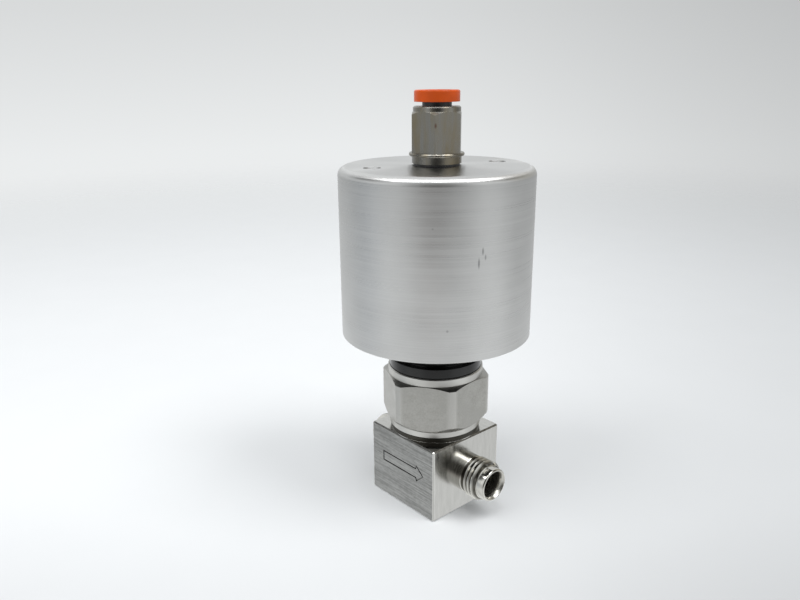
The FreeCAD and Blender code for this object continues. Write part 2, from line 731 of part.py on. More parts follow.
def actuator_rod():
    """Rod from the stem to the piston, screwed on below and shouldered under the piston."""
    socket = "{stem_thread_radius} + {running_clearance}"
    spigot = "{rod_spigot_radius}"
    top = "{piston_nut_top} - {running_clearance}"
    return turned_piece("actuator_rod", (
        (socket, "{stem_shoulder}"),
        ("{rod_radius}", "{stem_shoulder}"),
        ("{rod_radius}", "{spring_top}"),
        (spigot, "{spring_top}"),
        (spigot, top + " - {edge_break}"),
        (spigot + " - {edge_break}", top),
        ("0", top),
        ("0", "{stem_end} + {edge_break}"),
        (socket, "{stem_end} + {edge_break}"),
    ))


def piston():
    """Disc with an O-ring groove and a pocket for the spring."""
    floor = "{cap_bore_radius} - {piston_ring_wire} - 2 * {piston_ring_clearance}"
    middle = "({piston_top} + {piston_bottom}) / 2"
    half = "({piston_ring_wire} / 2 + {piston_ring_clearance})"
    boss = "{washer_radius}"
    return turned_piece("piston", (
        ("{rod_spigot_radius} + {running_clearance}", "{spring_top}"),
        ("{piston_recess_radius}", "{spring_top}"),
        ("{piston_recess_radius}", "{piston_bottom}"),
        ("{piston_radius} - {edge_break}", "{piston_bottom}"),
        ("{piston_radius}", "{piston_bottom} + {edge_break}"),
        ("{piston_radius}", middle + " - " + half),
        (floor, middle + " - " + half),
        (floor, middle + " + " + half),
        ("{piston_radius}", middle + " + " + half),
        ("{piston_radius}", "{piston_top} - {edge_break}"),
        ("{piston_radius} - {edge_break}", "{piston_top}"),
        (boss, "{piston_top}"),
        ("{rod_spigot_radius} + {running_clearance}", "{piston_top}"),
    ))


def ring_of_wire(label, mean, half, height):
    """O-ring of round section."""
    ring = primitive("Torus", label, Radius1=mean, Radius2=half, Placement__Base__z=height)
    ring.Label = label
    pieces.append(ring)
    return ring


def piston_seal():
    """O-ring in the groove of the piston."""
    mean = "{cap_bore_radius} - {piston_ring_wire} / 2 - {piston_ring_clearance}"
    middle = "({piston_top} + {piston_bottom}) / 2"
    return ring_of_wire("piston_seal", mean, "{piston_ring_wire} / 2", middle)


def piston_washer():
    """Washer on top of the piston."""
    return turned_piece("piston_washer", ring_corners(
        "{rod_spigot_radius} + {running_clearance}", "{washer_radius}", "{piston_top}", "{washer_top}"))


def piston_nut():
    """Plain hexagon nut that holds the piston on its rod."""
    prism = primitive(
        "Prism", "piston_nut_hexagon", Circumradius="{piston_nut_flats} / sqrt(3)",
        Height="{piston_nut_height}", Placement__Base__z="{washer_top}",
    )
    prism.Polygon = 6
    hole = primitive(
        "Cylinder", "piston_nut_hole", Radius="{rod_spigot_radius} + {running_clearance}",
        Height="{piston_nut_height}", Placement__Base__z="{washer_top}",
    )
    nut = combine("Cut", "piston_nut", prism, hole)
    pieces.append(nut)
    return nut


def return_spring():
    """Open coil of round wire between the plate and the piston's pocket."""
    rise = "({spring_top} - {base_top} - {spring_wire})"
    start = "{base_top} + {spring_wire} / 2"
    coil = primitive(
        "Helix", "coil_path", Pitch=f"{rise} / {{spring_turns}}", Height=rise,
        Radius="{spring_radius}", Placement__Base__z=start,
    )
    section = doc.addObject("Part::Circle", "coil_section")
    section.Placement.Rotation = FreeCAD.Rotation(FreeCAD.Vector(1, 0, 0), 90)
    section.setExpression("Radius", formula("{spring_wire} / 2"))
    section.setExpression("Placement.Base.x", formula("{spring_radius}"))
    section.setExpression("Placement.Base.z", formula(start))
    spring = doc.addObject("Part::Sweep", "return_spring")
    spring.Label = "return_spring"
    spring.Sections = [section]
    spring.Spine = (coil, ["Edge1"])
    spring.Solid = True
    spring.Frenet = True
    pieces.append(spring)
    return spring


def actuator_cap():
    """Turned cylinder, closed on top, with the air port and two blind spanner holes."""
    body = new_body("actuator_cap")
    thread = "{base_radius} + {base_clearance}"
    thread_top = "{base_top} + {cap_thread_relief}"
    step = "({base_radius} + {base_clearance} - {cap_bore_radius})"
    shell = turn(body, "cap_turned", (
        (thread, "{cap_bottom}"),
        ("{cap_radius} - {edge_break}", "{cap_bottom}"),
        ("{cap_radius}", "{cap_bottom} + {edge_break}"),
        ("{cap_radius}", "{cap_top}"),
        ("{cap_port_radius}", "{cap_top}"),
        ("{cap_port_radius}", "{roof_under}"),
        ("{cap_bore_radius}", "{roof_under}"),
        ("{cap_bore_radius}", thread_top + " + " + step),
        (thread, thread_top),
    ))
    is_top_edge = is_circle_at("{cap_radius}", "{cap_top}")
    soften(body, "cap_round", "Fillet", shell, is_top_edge, "Radius", "{cap_edge_round}")
    sketch = body.newObject("Sketcher::SketchObject", "spanner_circle")
    sketch.AttachmentSupport = (plane(body, "XY_Plane"), [""])
    sketch.MapMode = "FlatFace"
    sketch.setExpression(".AttachmentOffset.Base.z", formula("{cap_top}"))
    angle = "({spanner_hole_turn} * 1 deg)"
    draw_circle(
        sketch, "{spanner_hole_circle} * cos" + angle, "{spanner_hole_circle} * sin" + angle,
        "{spanner_hole_radius}")
    hole = pad(body, "spanner_hole", sketch, "{spanner_hole_depth}", kind="Pocket")
    pair = body.newObject("PartDesign::PolarPattern", "spanner_holes")
    pair.Originals = [hole]
    pair.Axis = (sketch, ["N_Axis"])
    pair.Angle = 360
    pair.Occurrences = 2
    body.Tip = pair
    doc.recompute()
    return body


def fitting_seal():
    """Dark ring that seals the fitting on the cap."""
    return turned_piece("fitting_seal", ring_corners(
        "{cap_port_radius}", "{seal_ring_radius}", "{cap_top}", "{foot_bottom}"))


def fitting_body():
    """Turned and hexagonal body of the push-in fitting, bored in steps from the top."""
    body = new_body("fitting_body")
    spigot = "{cap_port_radius} - {spigot_clearance}"
    bottom = "{cap_top} - {spigot_length}"
    middle = "({foot_top} + {bead_top}) / 2"
    core = "({cartridge_radius} + {head_radius}) / 2"
    turn(body, "fitting_turned", (
        ("0", bottom),
        (spigot + " - {edge_break}", bottom),
        (spigot, bottom + " + {edge_break}"),
        (spigot, "{foot_bottom}"),
        ("{foot_radius}", "{foot_bottom}"),
        ("{foot_radius}", "{foot_top}"),
        ("{bead_radius} - {bead_height} / 4", "{foot_top}"),
        ("{bead_radius}", middle + " - {bead_height} / 6"),
        ("{bead_radius}", middle + " + {bead_height} / 6"),
        ("{bead_radius} - {bead_height} / 4", "{bead_top}"),
        (core, "{bead_top}"),
        (core, "{hex_top}"),
        ("{head_radius}", "{hex_top}"),
        ("{head_radius}", "{head_top} - {edge_break}"),
        ("{head_radius} - {edge_break}", "{head_top}"),
        ("0", "{head_top}"),
    ))
    corners = hexagon("{fitting_flats}", "{fitting_turn}")
    section = outline(body, "fitting_hexagon", corners, role="XY_Plane", lift="{bead_top}")
    pad(body, "fitting_hex", section, "{fitting_hex_height}")
    reach = "{fitting_flats} / sqrt(3)"
    turn(body, "fitting_hex_chamfer", (
        ("{head_radius}", "{hex_top}"),
        (reach, "{hex_top} - {fitting_hex_drop}"),
        (reach + " + {overrun}", "{hex_top} - {fitting_hex_drop}"),
        (reach + " + {overrun}", "{hex_top} + {overrun}"),
        ("{head_radius}", "{hex_top} + {overrun}"),
    ), kind="Groove")
    turn(body, "fitting_bore", (
        ("0", bottom + " - {overrun}"),
        ("{air_hole_radius}", bottom + " - {overrun}"),
        ("{air_hole_radius}", "{tube_stop}"),
        ("{air_socket_radius}", "{tube_stop}"),
        ("{air_socket_radius}", "{cartridge_floor}"),
        ("{cartridge_radius}", "{cartridge_floor}"),
        ("{cartridge_radius}", "{head_top} + {overrun}"),
        ("0", "{head_top} + {overrun}"),
    ), kind="Groove")
    return body


def tube_seal():
    """O-ring that seals on the tube."""
    half = "({tube_seal_height} / 2)"
    mean = "{fill_radius} - " + half
    return ring_of_wire("tube_seal", mean, half, "{cartridge_floor} + " + half)


def tube_gripper():
    """Slotted cone of spring steel whose teeth hold the tube."""
    body = new_body("tube_gripper")
    inner = "{air_socket_radius} + {running_clearance}"
    turn(body, "gripper_cone", (
        (inner, "{gripper_bottom} + {gripper_rise}"),
        ("{fill_radius} - {sleeve_lip}", "{gripper_bottom}"),
        ("{fill_radius}", "{gripper_bottom}"),
        ("{fill_radius}", "{gripper_bottom} + {gripper_thickness}"),
        ("{fill_radius} - {sleeve_lip}", "{gripper_bottom} + {gripper_thickness}"),
        (inner, "{gripper_top}"),
    ))
    slot = outline(body, "gripper_slot_outline", (
        ("{air_socket_radius} - {overrun}", "-{gripper_slot_width} / 2"),
        ("{fill_radius} - {sleeve_lip}", "-{gripper_slot_width} / 2"),
        ("{fill_radius} - {sleeve_lip}", "{gripper_slot_width} / 2"),
        ("{air_socket_radius} - {overrun}", "{gripper_slot_width} / 2"),
    ), role="XY_Plane", lift="{gripper_bottom} - {overrun}")
    through = "{gripper_rise} + {gripper_thickness} + 2 * {overrun}"
    cut = pad(body, "gripper_slot", slot, through, kind="Pocket", reverse=True)
    ring = body.newObject("PartDesign::PolarPattern", "gripper_teeth")
    ring.Originals = [cut]
    ring.Axis = (slot, ["N_Axis"])
    ring.Angle = 360
    ring.setExpression("Occurrences", formula("{gripper_slots}"))
    body.Tip = ring
    doc.recompute()
    return body


def gripper_retainer():
    """Ring pressed into the fitting that guides the sleeve and traps its lip."""
    guide = "{sleeve_radius} + {running_clearance}"
    pocket = "{lip_radius} + {running_clearance}"
    return turned_piece("gripper_retainer", (
        (pocket, "{retainer_bottom}"),
        ("{fill_radius}", "{retainer_bottom}"),
        ("{fill_radius}", "{head_top}"),
        (guide, "{head_top}"),
        (guide, "{retainer_ledge}"),
        (pocket, "{retainer_ledge}"),
    ))


def release_sleeve():
    """Thin sleeve under the release ring, with the lip that keeps it in."""
    return turned_piece("release_sleeve", (
        ("{air_socket_radius}", "{sleeve_bottom}"),
        ("{lip_radius}", "{sleeve_bottom}"),
        ("{lip_radius}", "{sleeve_bottom} + {sleeve_lip_height}"),
        ("{sleeve_radius}", "{sleeve_bottom} + {sleeve_lip_height}"),
        ("{sleeve_radius}", "{sleeve_top}"),
        ("{air_socket_radius}", "{sleeve_top}"),
    ))


def release_ring():
    """Ring that is pressed to free the tube."""
    body = new_body("release_ring")
    ring = turn(body, "release_ring_turned", (
        ("{sleeve_radius} + {running_clearance}", "{ring_bottom}"),
        ("{release_ring_radius}", "{ring_bottom}"),
        ("{release_ring_radius}", "{ring_top}"),
        ("{air_socket_radius} + {lead_in}", "{ring_top}"),
        ("{air_socket_radius}", "{ring_top} - {lead_in}"),
        ("{air_socket_radius}", "{sleeve_top}"),
        ("{sleeve_radius} + {running_clearance}", "{sleeve_top}"),
    ))
    is_top_edge = is_circle_at("{release_ring_radius}", "{ring_top}")
    soften(body, "release_ring_round", "Fillet", ring, is_top_edge, "Radius", "{release_ring_round}")
    return body


BUILDERS = (
    valve_body, body_gasket, bellows_flange, bellows, stem, stem_tip, bonnet, guide_bush, bonnet_nut,
    actuator_base, rod_bush, actuator_rod, piston, piston_seal, piston_washer, piston_nut,
    return_spring, actuator_cap, fitting_seal, fitting_body, tube_seal, tube_gripper,
    gripper_retainer, release_sleeve, release_ring,
)

for build in BUILDERS:
    build()
doc.recompute()

faults = [
    f"{item.Label}: {item.State}" for item in doc.Objects
    if "Invalid" in item.State or "Error" in item.State
]
for piece in pieces:
    if piece.Shape.isNull() or not piece.Shape.isValid():
        faults.append(f"{piece.Label}: its shape is empty or not valid")
    elif len(piece.Shape.Solids) != 1:
        faults.append(f"{piece.Label}: {len(piece.Shape.Solids)} solids")
if faults:
    raise RuntimeError("; ".join(faults))

os.makedirs("parts", exist_ok=True)
for piece in pieces:
    piece.Shape.exportStep(f"parts/{piece.Label}.step")
    print(piece.Label, round(piece.Shape.Volume, 2))
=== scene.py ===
"""Air-operated bellows valve, dressed: finishes, threads, engraving, light and camera."""

import logging
from collections.abc import Callable
from dataclasses import dataclass
from enum import Enum
from math import cos, pi, radians, sin

import bpy
from mathutils import Matrix, Vector


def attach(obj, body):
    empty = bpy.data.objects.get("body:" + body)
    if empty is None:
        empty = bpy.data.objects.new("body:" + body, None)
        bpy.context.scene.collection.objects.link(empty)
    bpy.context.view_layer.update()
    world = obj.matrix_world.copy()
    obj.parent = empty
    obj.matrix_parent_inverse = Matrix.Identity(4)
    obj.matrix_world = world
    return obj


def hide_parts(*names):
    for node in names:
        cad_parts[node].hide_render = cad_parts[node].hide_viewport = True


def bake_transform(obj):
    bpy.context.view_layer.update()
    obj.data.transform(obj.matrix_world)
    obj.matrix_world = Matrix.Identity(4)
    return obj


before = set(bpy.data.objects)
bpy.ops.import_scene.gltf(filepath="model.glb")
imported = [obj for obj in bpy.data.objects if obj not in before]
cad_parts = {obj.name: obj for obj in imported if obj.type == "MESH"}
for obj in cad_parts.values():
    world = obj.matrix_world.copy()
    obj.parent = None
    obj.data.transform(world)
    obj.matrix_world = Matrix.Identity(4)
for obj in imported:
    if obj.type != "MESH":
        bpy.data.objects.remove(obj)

Socket = bpy.types.NodeSocket
Piece = bpy.types.Object

MM = 0.001
SMOOTH_ANGLE = radians(32)
SEAM = 0.001 * MM
VIEWPOINT = (134.562 * MM, -129.866 * MM, 115.312 * MM)
HOUSING = "housing"
RELEASE = "release"

log = logging.getLogger("valve")


class Keep(Enum):
    """Side of a cutting tool that stays."""

    OUTSIDE = "DIFFERENCE"
    INSIDE = "INTERSECT"


class Graph:
    """Node tree of a material or a world, with short calls for the nodes that they share."""

    def __init__(self, owner: bpy.types.ID, shader: str, place: str) -> None:
        """Start from the owner's plain shader.

        Args:
            owner: the material or world.
            shader: name of the shader that it starts with.
            place: texture coordinate that its patterns follow.
        """
        owner.use_nodes = True
        self.owner = owner
        self.nodes = owner.node_tree.nodes
        self.links = owner.node_tree.links
        self.shader = self.nodes[shader]
        self.place = self.nodes.new("ShaderNodeTexCoord").outputs[place]

    @classmethod
    def surface(cls, name: str) -> "Graph":
        """Start a material.

        Args:
            name: the material's name.

        Returns:
            Its node tree, with patterns in object space.
        """
        return cls(bpy.data.materials.new(name), "Principled BSDF", "Object")

    def set(self, **values: object) -> None:
        """Set the shader's own sockets.

        Args:
            values: socket names, with an underscore for each space, and their values.
        """
        for name, value in values.items():
            self.shader.inputs[name.replace("_", " ")].default_value = value

    def add(self, kind: str, values: dict, **props: object) -> bpy.types.Node:
        """Add a node.

        Args:
            kind: the node's type, without its usual prefix.
            values: input sockets and what goes in them, a socket or a plain value.
            props: settings of the node.

        Returns:
            The new node.
        """
        node = self.nodes.new("ShaderNode" + kind)
        for name, value in props.items():
            setattr(node, name, value)
        for name, value in values.items():
            if isinstance(value, Socket):
                self.links.new(value, node.inputs[name])
            else:
                node.inputs[name].default_value = value
        return node

    def mapped(self, scale: tuple, place: tuple = (0, 0, 0)) -> Socket:
        """Object coordinates, scaled.

        Args:
            scale: scale along each axis.
            place: shift along each axis.

        Returns:
            The mapped vector.
        """
        values = {"Vector": self.place, "Scale": scale, "Location": place}
        return self.add("Mapping", values).outputs["Vector"]

    def noise(self, scale: tuple, detail: float = 2.0, place: tuple = (0, 0, 0)) -> Socket:
        """Noise in object space.

        Args:
            scale: cells to the metre along each axis.
            detail: octaves.
            place: shift, so that two noises differ.

        Returns:
            A factor around one half.
        """
        values = {"Vector": self.mapped(scale, place), "Scale": 1.0, "Detail": detail}
        return self.add("TexNoise", values).outputs["Fac"]

    def span(self, factor: Socket, low: float, high: float,
             to_low: float = 0.0, to_high: float = 1.0, **props: object) -> Socket:
        """Stretch a factor from one range to another, clamped.

        Args:
            factor: what is stretched.
            low: value that becomes to_low.
            high: value that becomes to_high.
            to_low: lower result.
            to_high: upper result.
            props: settings of the node.

        Returns:
            The stretched factor.
        """
        values = {"Value": factor, "From Min": low, "From Max": high,
                  "To Min": to_low, "To Max": to_high}
        return self.add("MapRange", values, **props).outputs["Result"]

    def maths(self, operation: str, first: object, second: object = 0.0) -> Socket:
        """One step of arithmetic.

        Args:
            operation: the Math node's operation.
            first: first value or socket.
            second: second value or socket.

        Returns:
            The result.
        """
        node = self.add("Math", {0: first, 1: second}, operation=operation)
        return node.outputs["Value"]

    def vector(self, operation: str, first: object, second: object = (0, 0, 0),
               output: str = "Vector") -> Socket:
        """One step of vector arithmetic.

        Args:
            operation: the Vector Math node's operation.
            first: first vector or socket.
            second: second vector or socket, if the operation has one.
            output: Vector, or Value where the result is a number.

        Returns:
            The result.
        """
        return self.add("VectorMath", {0: first, 1: second}, operation=operation).outputs[output]

    def weigh(self, *shares: tuple) -> Socket:
        """Add up factors by weight.

        Args:
            shares: pairs of a factor and its weight.

        Returns:
            The weighted sum.
        """
        total, *parts = (self.maths("MULTIPLY", factor, weight) for factor, weight in shares)
        for part in parts:
            total = self.maths("ADD", total, part)
        return total

    def blend(self, factor: object, first: object, second: object) -> Socket:
        """Mix two colours.

        Args:
            factor: share of the second colour.
            first: first colour or socket.
            second: second colour or socket.

        Returns:
            The mixed colour.
        """
        node = self.nodes.new("ShaderNodeMix")
        node.data_type = "RGBA"
        for index, value in ((0, factor), (6, first), (7, second)):
            if isinstance(value, Socket):
                self.links.new(value, node.inputs[index])
            else:
                node.inputs[index].default_value = value if index == 0 else (*value, 1.0)
        return node.outputs[2]

    def near(self, point: tuple, reach: float, stretch: tuple = (1, 1, 1)) -> Socket:
        """Mask of a small mark on the surface.

        Args:
            point: the mark's place, in metres.
            reach: its radius, in metres.
            stretch: how much the mark is squeezed along each axis.

        Returns:
            1 at the mark, falling to 0 at its edge.
        """
        scaled = self.vector("MULTIPLY", self.vector("SUBTRACT", self.place, point), stretch)
        length = self.vector("LENGTH", scaled, output="Value")
        return self.span(length, reach * 0.4, reach, 1.0, 0.0)

    def marked(self, colour: Socket, marks: tuple, dark: tuple) -> Socket:
        """Darken a colour at small marks.

        Args:
            colour: the colour between the marks.
            marks: the marks.
            dark: colour of a mark at full strength.

        Returns:
            The marked colour.
        """
        for mark in marks:
            mask = self.near(mark.place, mark.reach, mark.stretch)
            colour = self.blend(self.maths("MULTIPLY", mask, mark.strength), colour, dark)
        return colour

    def smooth(self, factor: Socket, low: float, high: float,
               to_low: float, to_high: float) -> Socket:
        """Stretch a factor as span does, with soft ends.

        Args:
            factor: what is stretched.
            low: value that becomes to_low.
            high: value that becomes to_high.
            to_low: result at low.
            to_high: result at high.

        Returns:
            The stretched factor.
        """
        return self.span(factor, low, high, to_low, to_high, interpolation_type="SMOOTHSTEP")

    def toward(self, point: Socket, azimuth: float) -> Socket:
        """Compare a heading with an azimuth.

        Args:
            point: a place or direction, of which only the level part counts.
            azimuth: azimuth in degrees.

        Returns:
            Cosine of the angle between the two.
        """
        heading = self.vector("NORMALIZE", self.vector("MULTIPLY", point, (1, 1, 0)))
        way = (cos(radians(azimuth)), sin(radians(azimuth)), 0)
        return self.vector("DOT_PRODUCT", heading, way, "Value")

    def profile(self, factor: Socket, points: tuple) -> Socket:
        """Read a value from a profile.

        Args:
            factor: what the profile is read at, from -1 to 1.
            points: pairs of a place, from -1 to 1, and the value there.

        Returns:
            The value, straight between the points.
        """
        node = self.add("ValToRGB", {"Fac": self.span(factor, -1.0, 1.0)})
        marks = node.color_ramp.elements
        for index, (at, value) in enumerate(points):
            mark = marks[index] if index < 2 else marks.new(1.0)
            mark.position = (at + 1.0) / 2.0
            mark.color = (value, value, value, 1.0)
        return node.outputs["Color"]

    def part(self, name: str) -> Socket:
        """Give one part, X, Y or Z, of the pattern's place."""
        return self.add("SeparateXYZ", {"Vector": self.place}).outputs[name]

    def colour(self, value: Socket) -> None:
        """Colour the surface."""
        self.links.new(value, self.shader.inputs["Base Color"])

    def roughness(self, value: Socket) -> None:
        """Set how rough the surface is."""
        self.links.new(value, self.shader.inputs["Roughness"])

    def bump(self, height: Socket, depth: float, strength: float = 1.0) -> None:
        """Give the surface relief.

        Args:
            height: the relief, from 0 to 1.
            depth: its real depth, in metres.
            strength: share of the relief that shows.
        """
        values = {"Height": height, "Distance": depth, "Strength": strength}
        if self.shader.inputs["Normal"].is_linked:
            values["Normal"] = self.shader.inputs["Normal"].links[0].from_socket
        node = self.add("Bump", values)
        self.links.new(node.outputs["Normal"], self.shader.inputs["Normal"])


@dataclass(frozen=True)
class Mark:
    """A small dark nick or speck on a surface."""

    place: tuple
    reach: float
    stretch: tuple = (1, 1, 1)
    strength: float = 0.6


@dataclass(frozen=True)
class TurnedMetal:
    """Metal turned on a lathe: fine tool lines round the stem's axis and slow changes of tone."""

    name: str
    colour: tuple
    shade: tuple
    roughness: float = 0.3
    lines: float = 5000.0
    line_depth: float = 0.000004
    anisotropy: float = 0.0
    marks: tuple = ()
    holes: tuple = ()

    def material(self) -> bpy.types.Material:
        """Build the material."""
        graph = Graph.surface(self.name)
        graph.set(Metallic=1.0, Anisotropic=self.anisotropy)
        fine = graph.noise((25.0, 25.0, self.lines), 3.0)
        coarse = graph.noise((8.0, 8.0, self.lines * 0.12), 2.0, (3, 1, 2))
        cloud = graph.noise((70, 70, 70), 3.0, (9, 4, 1))
        lines = graph.weigh((fine, 0.6), (coarse, 0.4))
        tone = graph.weigh((lines, 0.6), (cloud, 0.4))
        colour = graph.blend(graph.span(tone, 0.38, 0.62), self.shade, self.colour)
        colour = graph.marked(colour, self.marks, (0.05, 0.05, 0.055))
        if self.holes:
            # Painted light: the walls inside the holes are painted pale.
            colour = graph.blend(self.hole_walls(graph), colour, (0.93, 0.93, 0.92))
        graph.colour(colour)
        graph.roughness(graph.span(lines, 0.35, 0.65, self.roughness - 0.05, self.roughness + 0.05))
        if self.anisotropy:
            tangent = graph.nodes.new("ShaderNodeTangent")
            tangent.direction_type = "RADIAL"
            tangent.axis = "Z"
            graph.links.new(tangent.outputs["Tangent"], graph.shader.inputs["Tangent"])
        graph.bump(lines, self.line_depth)
        return graph.owner

    def hole_walls(self, graph: Graph) -> Socket:
        """Mask the lit far side of each blind hole, which is painted pale as painted light and left
        without a metal shine.

        Args:
            graph: the finish's nodes.

        Returns:
            1 on the lit walls below the top face, 0 elsewhere.
        """
        height = graph.part("Z")
        lit = 0.0
        for hole in self.holes:
            below = graph.maths("LESS_THAN", height, hole.place[2])
            spot = graph.maths("MULTIPLY", graph.near(hole.place, hole.reach), below)
            lit = graph.maths("MAXIMUM", spot, lit)
        shine = graph.maths("SUBTRACT", 1.0, lit)
        graph.links.new(shine, graph.shader.inputs["Metallic"])
        return lit


@dataclass(frozen=True)
class BlastedMetal:
    """Satin steel with a fine even grain and a few darker smears, brighter where it was turned."""

    name: str
    colour: tuple
    shade: tuple
    roughness: float = 0.36
    turned: tuple = ()
    corner: float = 0.0
    corner_width: float = 0.4 * MM
    bright: tuple = (0.48, 0.475, 0.455)

    def material(self) -> bpy.types.Material:
        """Build the material."""
        graph = Graph.surface(self.name)
        graph.set(Metallic=1.0)
        grain = graph.noise((2600, 2600, 2600), 3.0)
        smear = graph.noise((320, 320, 500), 4.0, (2, 7, 5))
        patch = graph.noise((120, 120, 120), 2.0, (5, 5, 1))
        tone = graph.weigh((smear, 0.5), (grain, 0.5))
        base = graph.blend(graph.span(tone, 0.36, 0.6), self.shade, self.colour)
        dull = tuple(0.85 * part for part in self.colour)
        colour = graph.blend(graph.span(patch, 0.45, 0.62, 0.0, 0.6), base, dull)
        if self.turned:
            colour = graph.blend(self.turned_zones(graph), colour, self.bright)
        graph.colour(colour)
        graph.roughness(graph.span(smear, 0.3, 0.7, self.roughness - 0.06, self.roughness + 0.08))
        graph.bump(grain, 0.000012)
        return graph.owner

    def turned_zones(self, graph: Graph) -> Socket:
        """Mask the turned shoulders, and the blunted corners between the flats.

        Args:
            graph: the finish's nodes.

        Returns:
            1 below the lower and above the upper height, one half on the corners, 0 elsewhere.
        """
        low, high = self.turned
        height = graph.part("Z")
        level = graph.vector("MULTIPLY", graph.place, (1, 1, 0))
        radius = graph.vector("LENGTH", level, output="Value")
        ends = graph.maths("MAXIMUM", graph.maths("LESS_THAN", height, low),
                           graph.maths("GREATER_THAN", height, high))
        corners = graph.span(radius, self.corner - self.corner_width, self.corner, 0.0, 0.5)
        return graph.maths("MAXIMUM", ends, corners)


@dataclass(frozen=True)
class ThreadSteel:
    """Polished steel of a tube end, with painted shade in the roots of its thread."""

    name: str
    bright: tuple
    painted_shade: tuple
    axis_height: float = 10.9 * MM
    thread: tuple = (15.3 * MM, 20.6 * MM)
    root: float = 4.95 * MM
    crest: float = 5.45 * MM
    bore: float = 4.2 * MM
    bore_edge: float = 0.2 * MM

    def material(self) -> bpy.types.Material:
        """Build the material."""
        graph = Graph.surface(self.name)
        graph.set(Metallic=1.0)
        centred = graph.vector("SUBTRACT", graph.place, (0, 0, self.axis_height))
        across = graph.vector("MULTIPLY", centred, (0, 1, 1))
        radius = graph.vector("LENGTH", across, output="Value")
        along = graph.maths("ABSOLUTE", graph.part("X"))
        start, end = self.thread
        threaded = graph.maths("MULTIPLY", graph.maths("GREATER_THAN", along, start),
                               graph.maths("LESS_THAN", along, end))
        outside = graph.maths("GREATER_THAN", radius, self.bore)
        # Painted shade: the thread's roots are darkened towards the root radius.
        deep = graph.span(radius, self.root, self.crest, 1.0, 0.0)
        root_shade = graph.maths("MULTIPLY", graph.maths("MULTIPLY", threaded, outside), deep)
        lines = graph.noise((5200, 120, 120), 2.0)
        dull = tuple(0.86 * part for part in self.bright)
        steel = graph.blend(graph.span(lines, 0.4, 0.6), dull, self.bright)
        graph.colour(graph.blend(root_shade, steel, self.painted_shade))
        polish = graph.span(lines, 0.3, 0.7, 0.07, 0.14)
        bored = graph.span(radius, self.bore - self.bore_edge, self.bore, 0.16, 0.0)
        graph.roughness(graph.maths("ADD", polish, bored))
        graph.bump(lines, 0.000002)
        return graph.owner


@dataclass(frozen=True)
class BlockMetal:
    """Steel block: milled lines on two sides, a smoother finish on the port faces, painted shade on
    the boss under the nut.
    """

    name: str
    colour: tuple
    milled: tuple
    painted_shade: tuple
    engraved_colour: tuple
    half: float
    top: float
    engraving: tuple
    engraved_depth: tuple = (0.05 * MM, 0.6 * MM)
    margin: float = 0.04 * MM

    def material(self) -> bpy.types.Material:
        """Build the material."""
        graph = Graph.surface(self.name)
        graph.set(Metallic=1.0)
        parts = graph.add("SeparateXYZ", {"Vector": graph.place})
        across, along, up = (parts.outputs[name] for name in ("X", "Y", "Z"))
        side = graph.maths("GREATER_THAN", graph.maths("ABSOLUTE", along), self.half - self.margin)
        top = graph.maths("GREATER_THAN", up, self.top - self.margin)
        boss = graph.maths("GREATER_THAN", up, self.top + self.margin)
        mill = graph.noise((60, 60, 5200), 3.0)
        coarse = graph.noise((110, 110, 1300), 4.0, (6, 1, 3))
        swirl = graph.noise((700, 700, 1500), 3.0, (4, 2, 8))
        lines = graph.weigh((mill, 0.4), (coarse, 0.35), (swirl, 0.25))
        satin = graph.noise((500, 900, 160), 3.0, (1, 1, 6))
        dark_line = tuple(0.6 * part for part in self.milled)
        light_line = tuple(1.15 * part for part in self.milled)
        milled = graph.blend(graph.span(lines, 0.4, 0.6), dark_line, light_line)
        dull = tuple(0.92 * part for part in self.colour)
        smooth = graph.blend(graph.span(satin, 0.35, 0.65), dull, self.colour)
        colour = graph.blend(side, smooth, milled)
        colour = graph.blend(self.engraved(graph, across, along, up), colour, self.engraved_colour)
        # Painted shade: the boss under the nut is darkened.
        graph.colour(graph.blend(boss, colour, self.painted_shade))
        plain = graph.span(satin, 0.3, 0.7, 0.19, 0.26)
        rough = graph.span(lines, 0.3, 0.7, 0.32, 0.44)
        level = self.choose(graph, side, plain, rough)
        level = self.choose(graph, top, level, 0.14)
        graph.roughness(self.choose(graph, boss, level, 0.4))
        graph.bump(self.choose(graph, side, graph.maths("MULTIPLY", satin, 0.1), lines), 0.00003)
        return graph.owner

    def engraved(self, graph: Graph, across: Socket, along: Socket,
                 up: Socket) -> Socket:
        """Mask the bottom of what is engraved in the front face.

        Args:
            graph: the finish's nodes.
            across: place along X.
            along: place along Y.
            up: place along Z.

        Returns:
            1 in the engraving, 0 elsewhere.
        """
        reach_across, low, high = self.engraving
        shallow, deep = self.engraved_depth
        tests = (
            graph.maths("GREATER_THAN", along, shallow - self.half),
            graph.maths("LESS_THAN", along, deep - self.half),
            graph.maths("LESS_THAN", graph.maths("ABSOLUTE", across), reach_across),
            graph.maths("GREATER_THAN", up, low),
            graph.maths("LESS_THAN", up, high),
        )
        inside = tests[0]
        for test in tests[1:]:
            inside = graph.maths("MULTIPLY", inside, test)
        return inside

    def choose(self, graph: Graph, mask: object, outside: object, inside: object) -> Socket:
        """Choose between two values by a mask.

        Args:
            graph: the finish's nodes.
            mask: 0 or 1.
            outside: value where the mask is 0.
            inside: value where the mask is 1.

        Returns:
            The chosen value.
        """
        node = graph.add("Mix", {0: mask, 2: outside, 3: inside})
        return node.outputs[0]


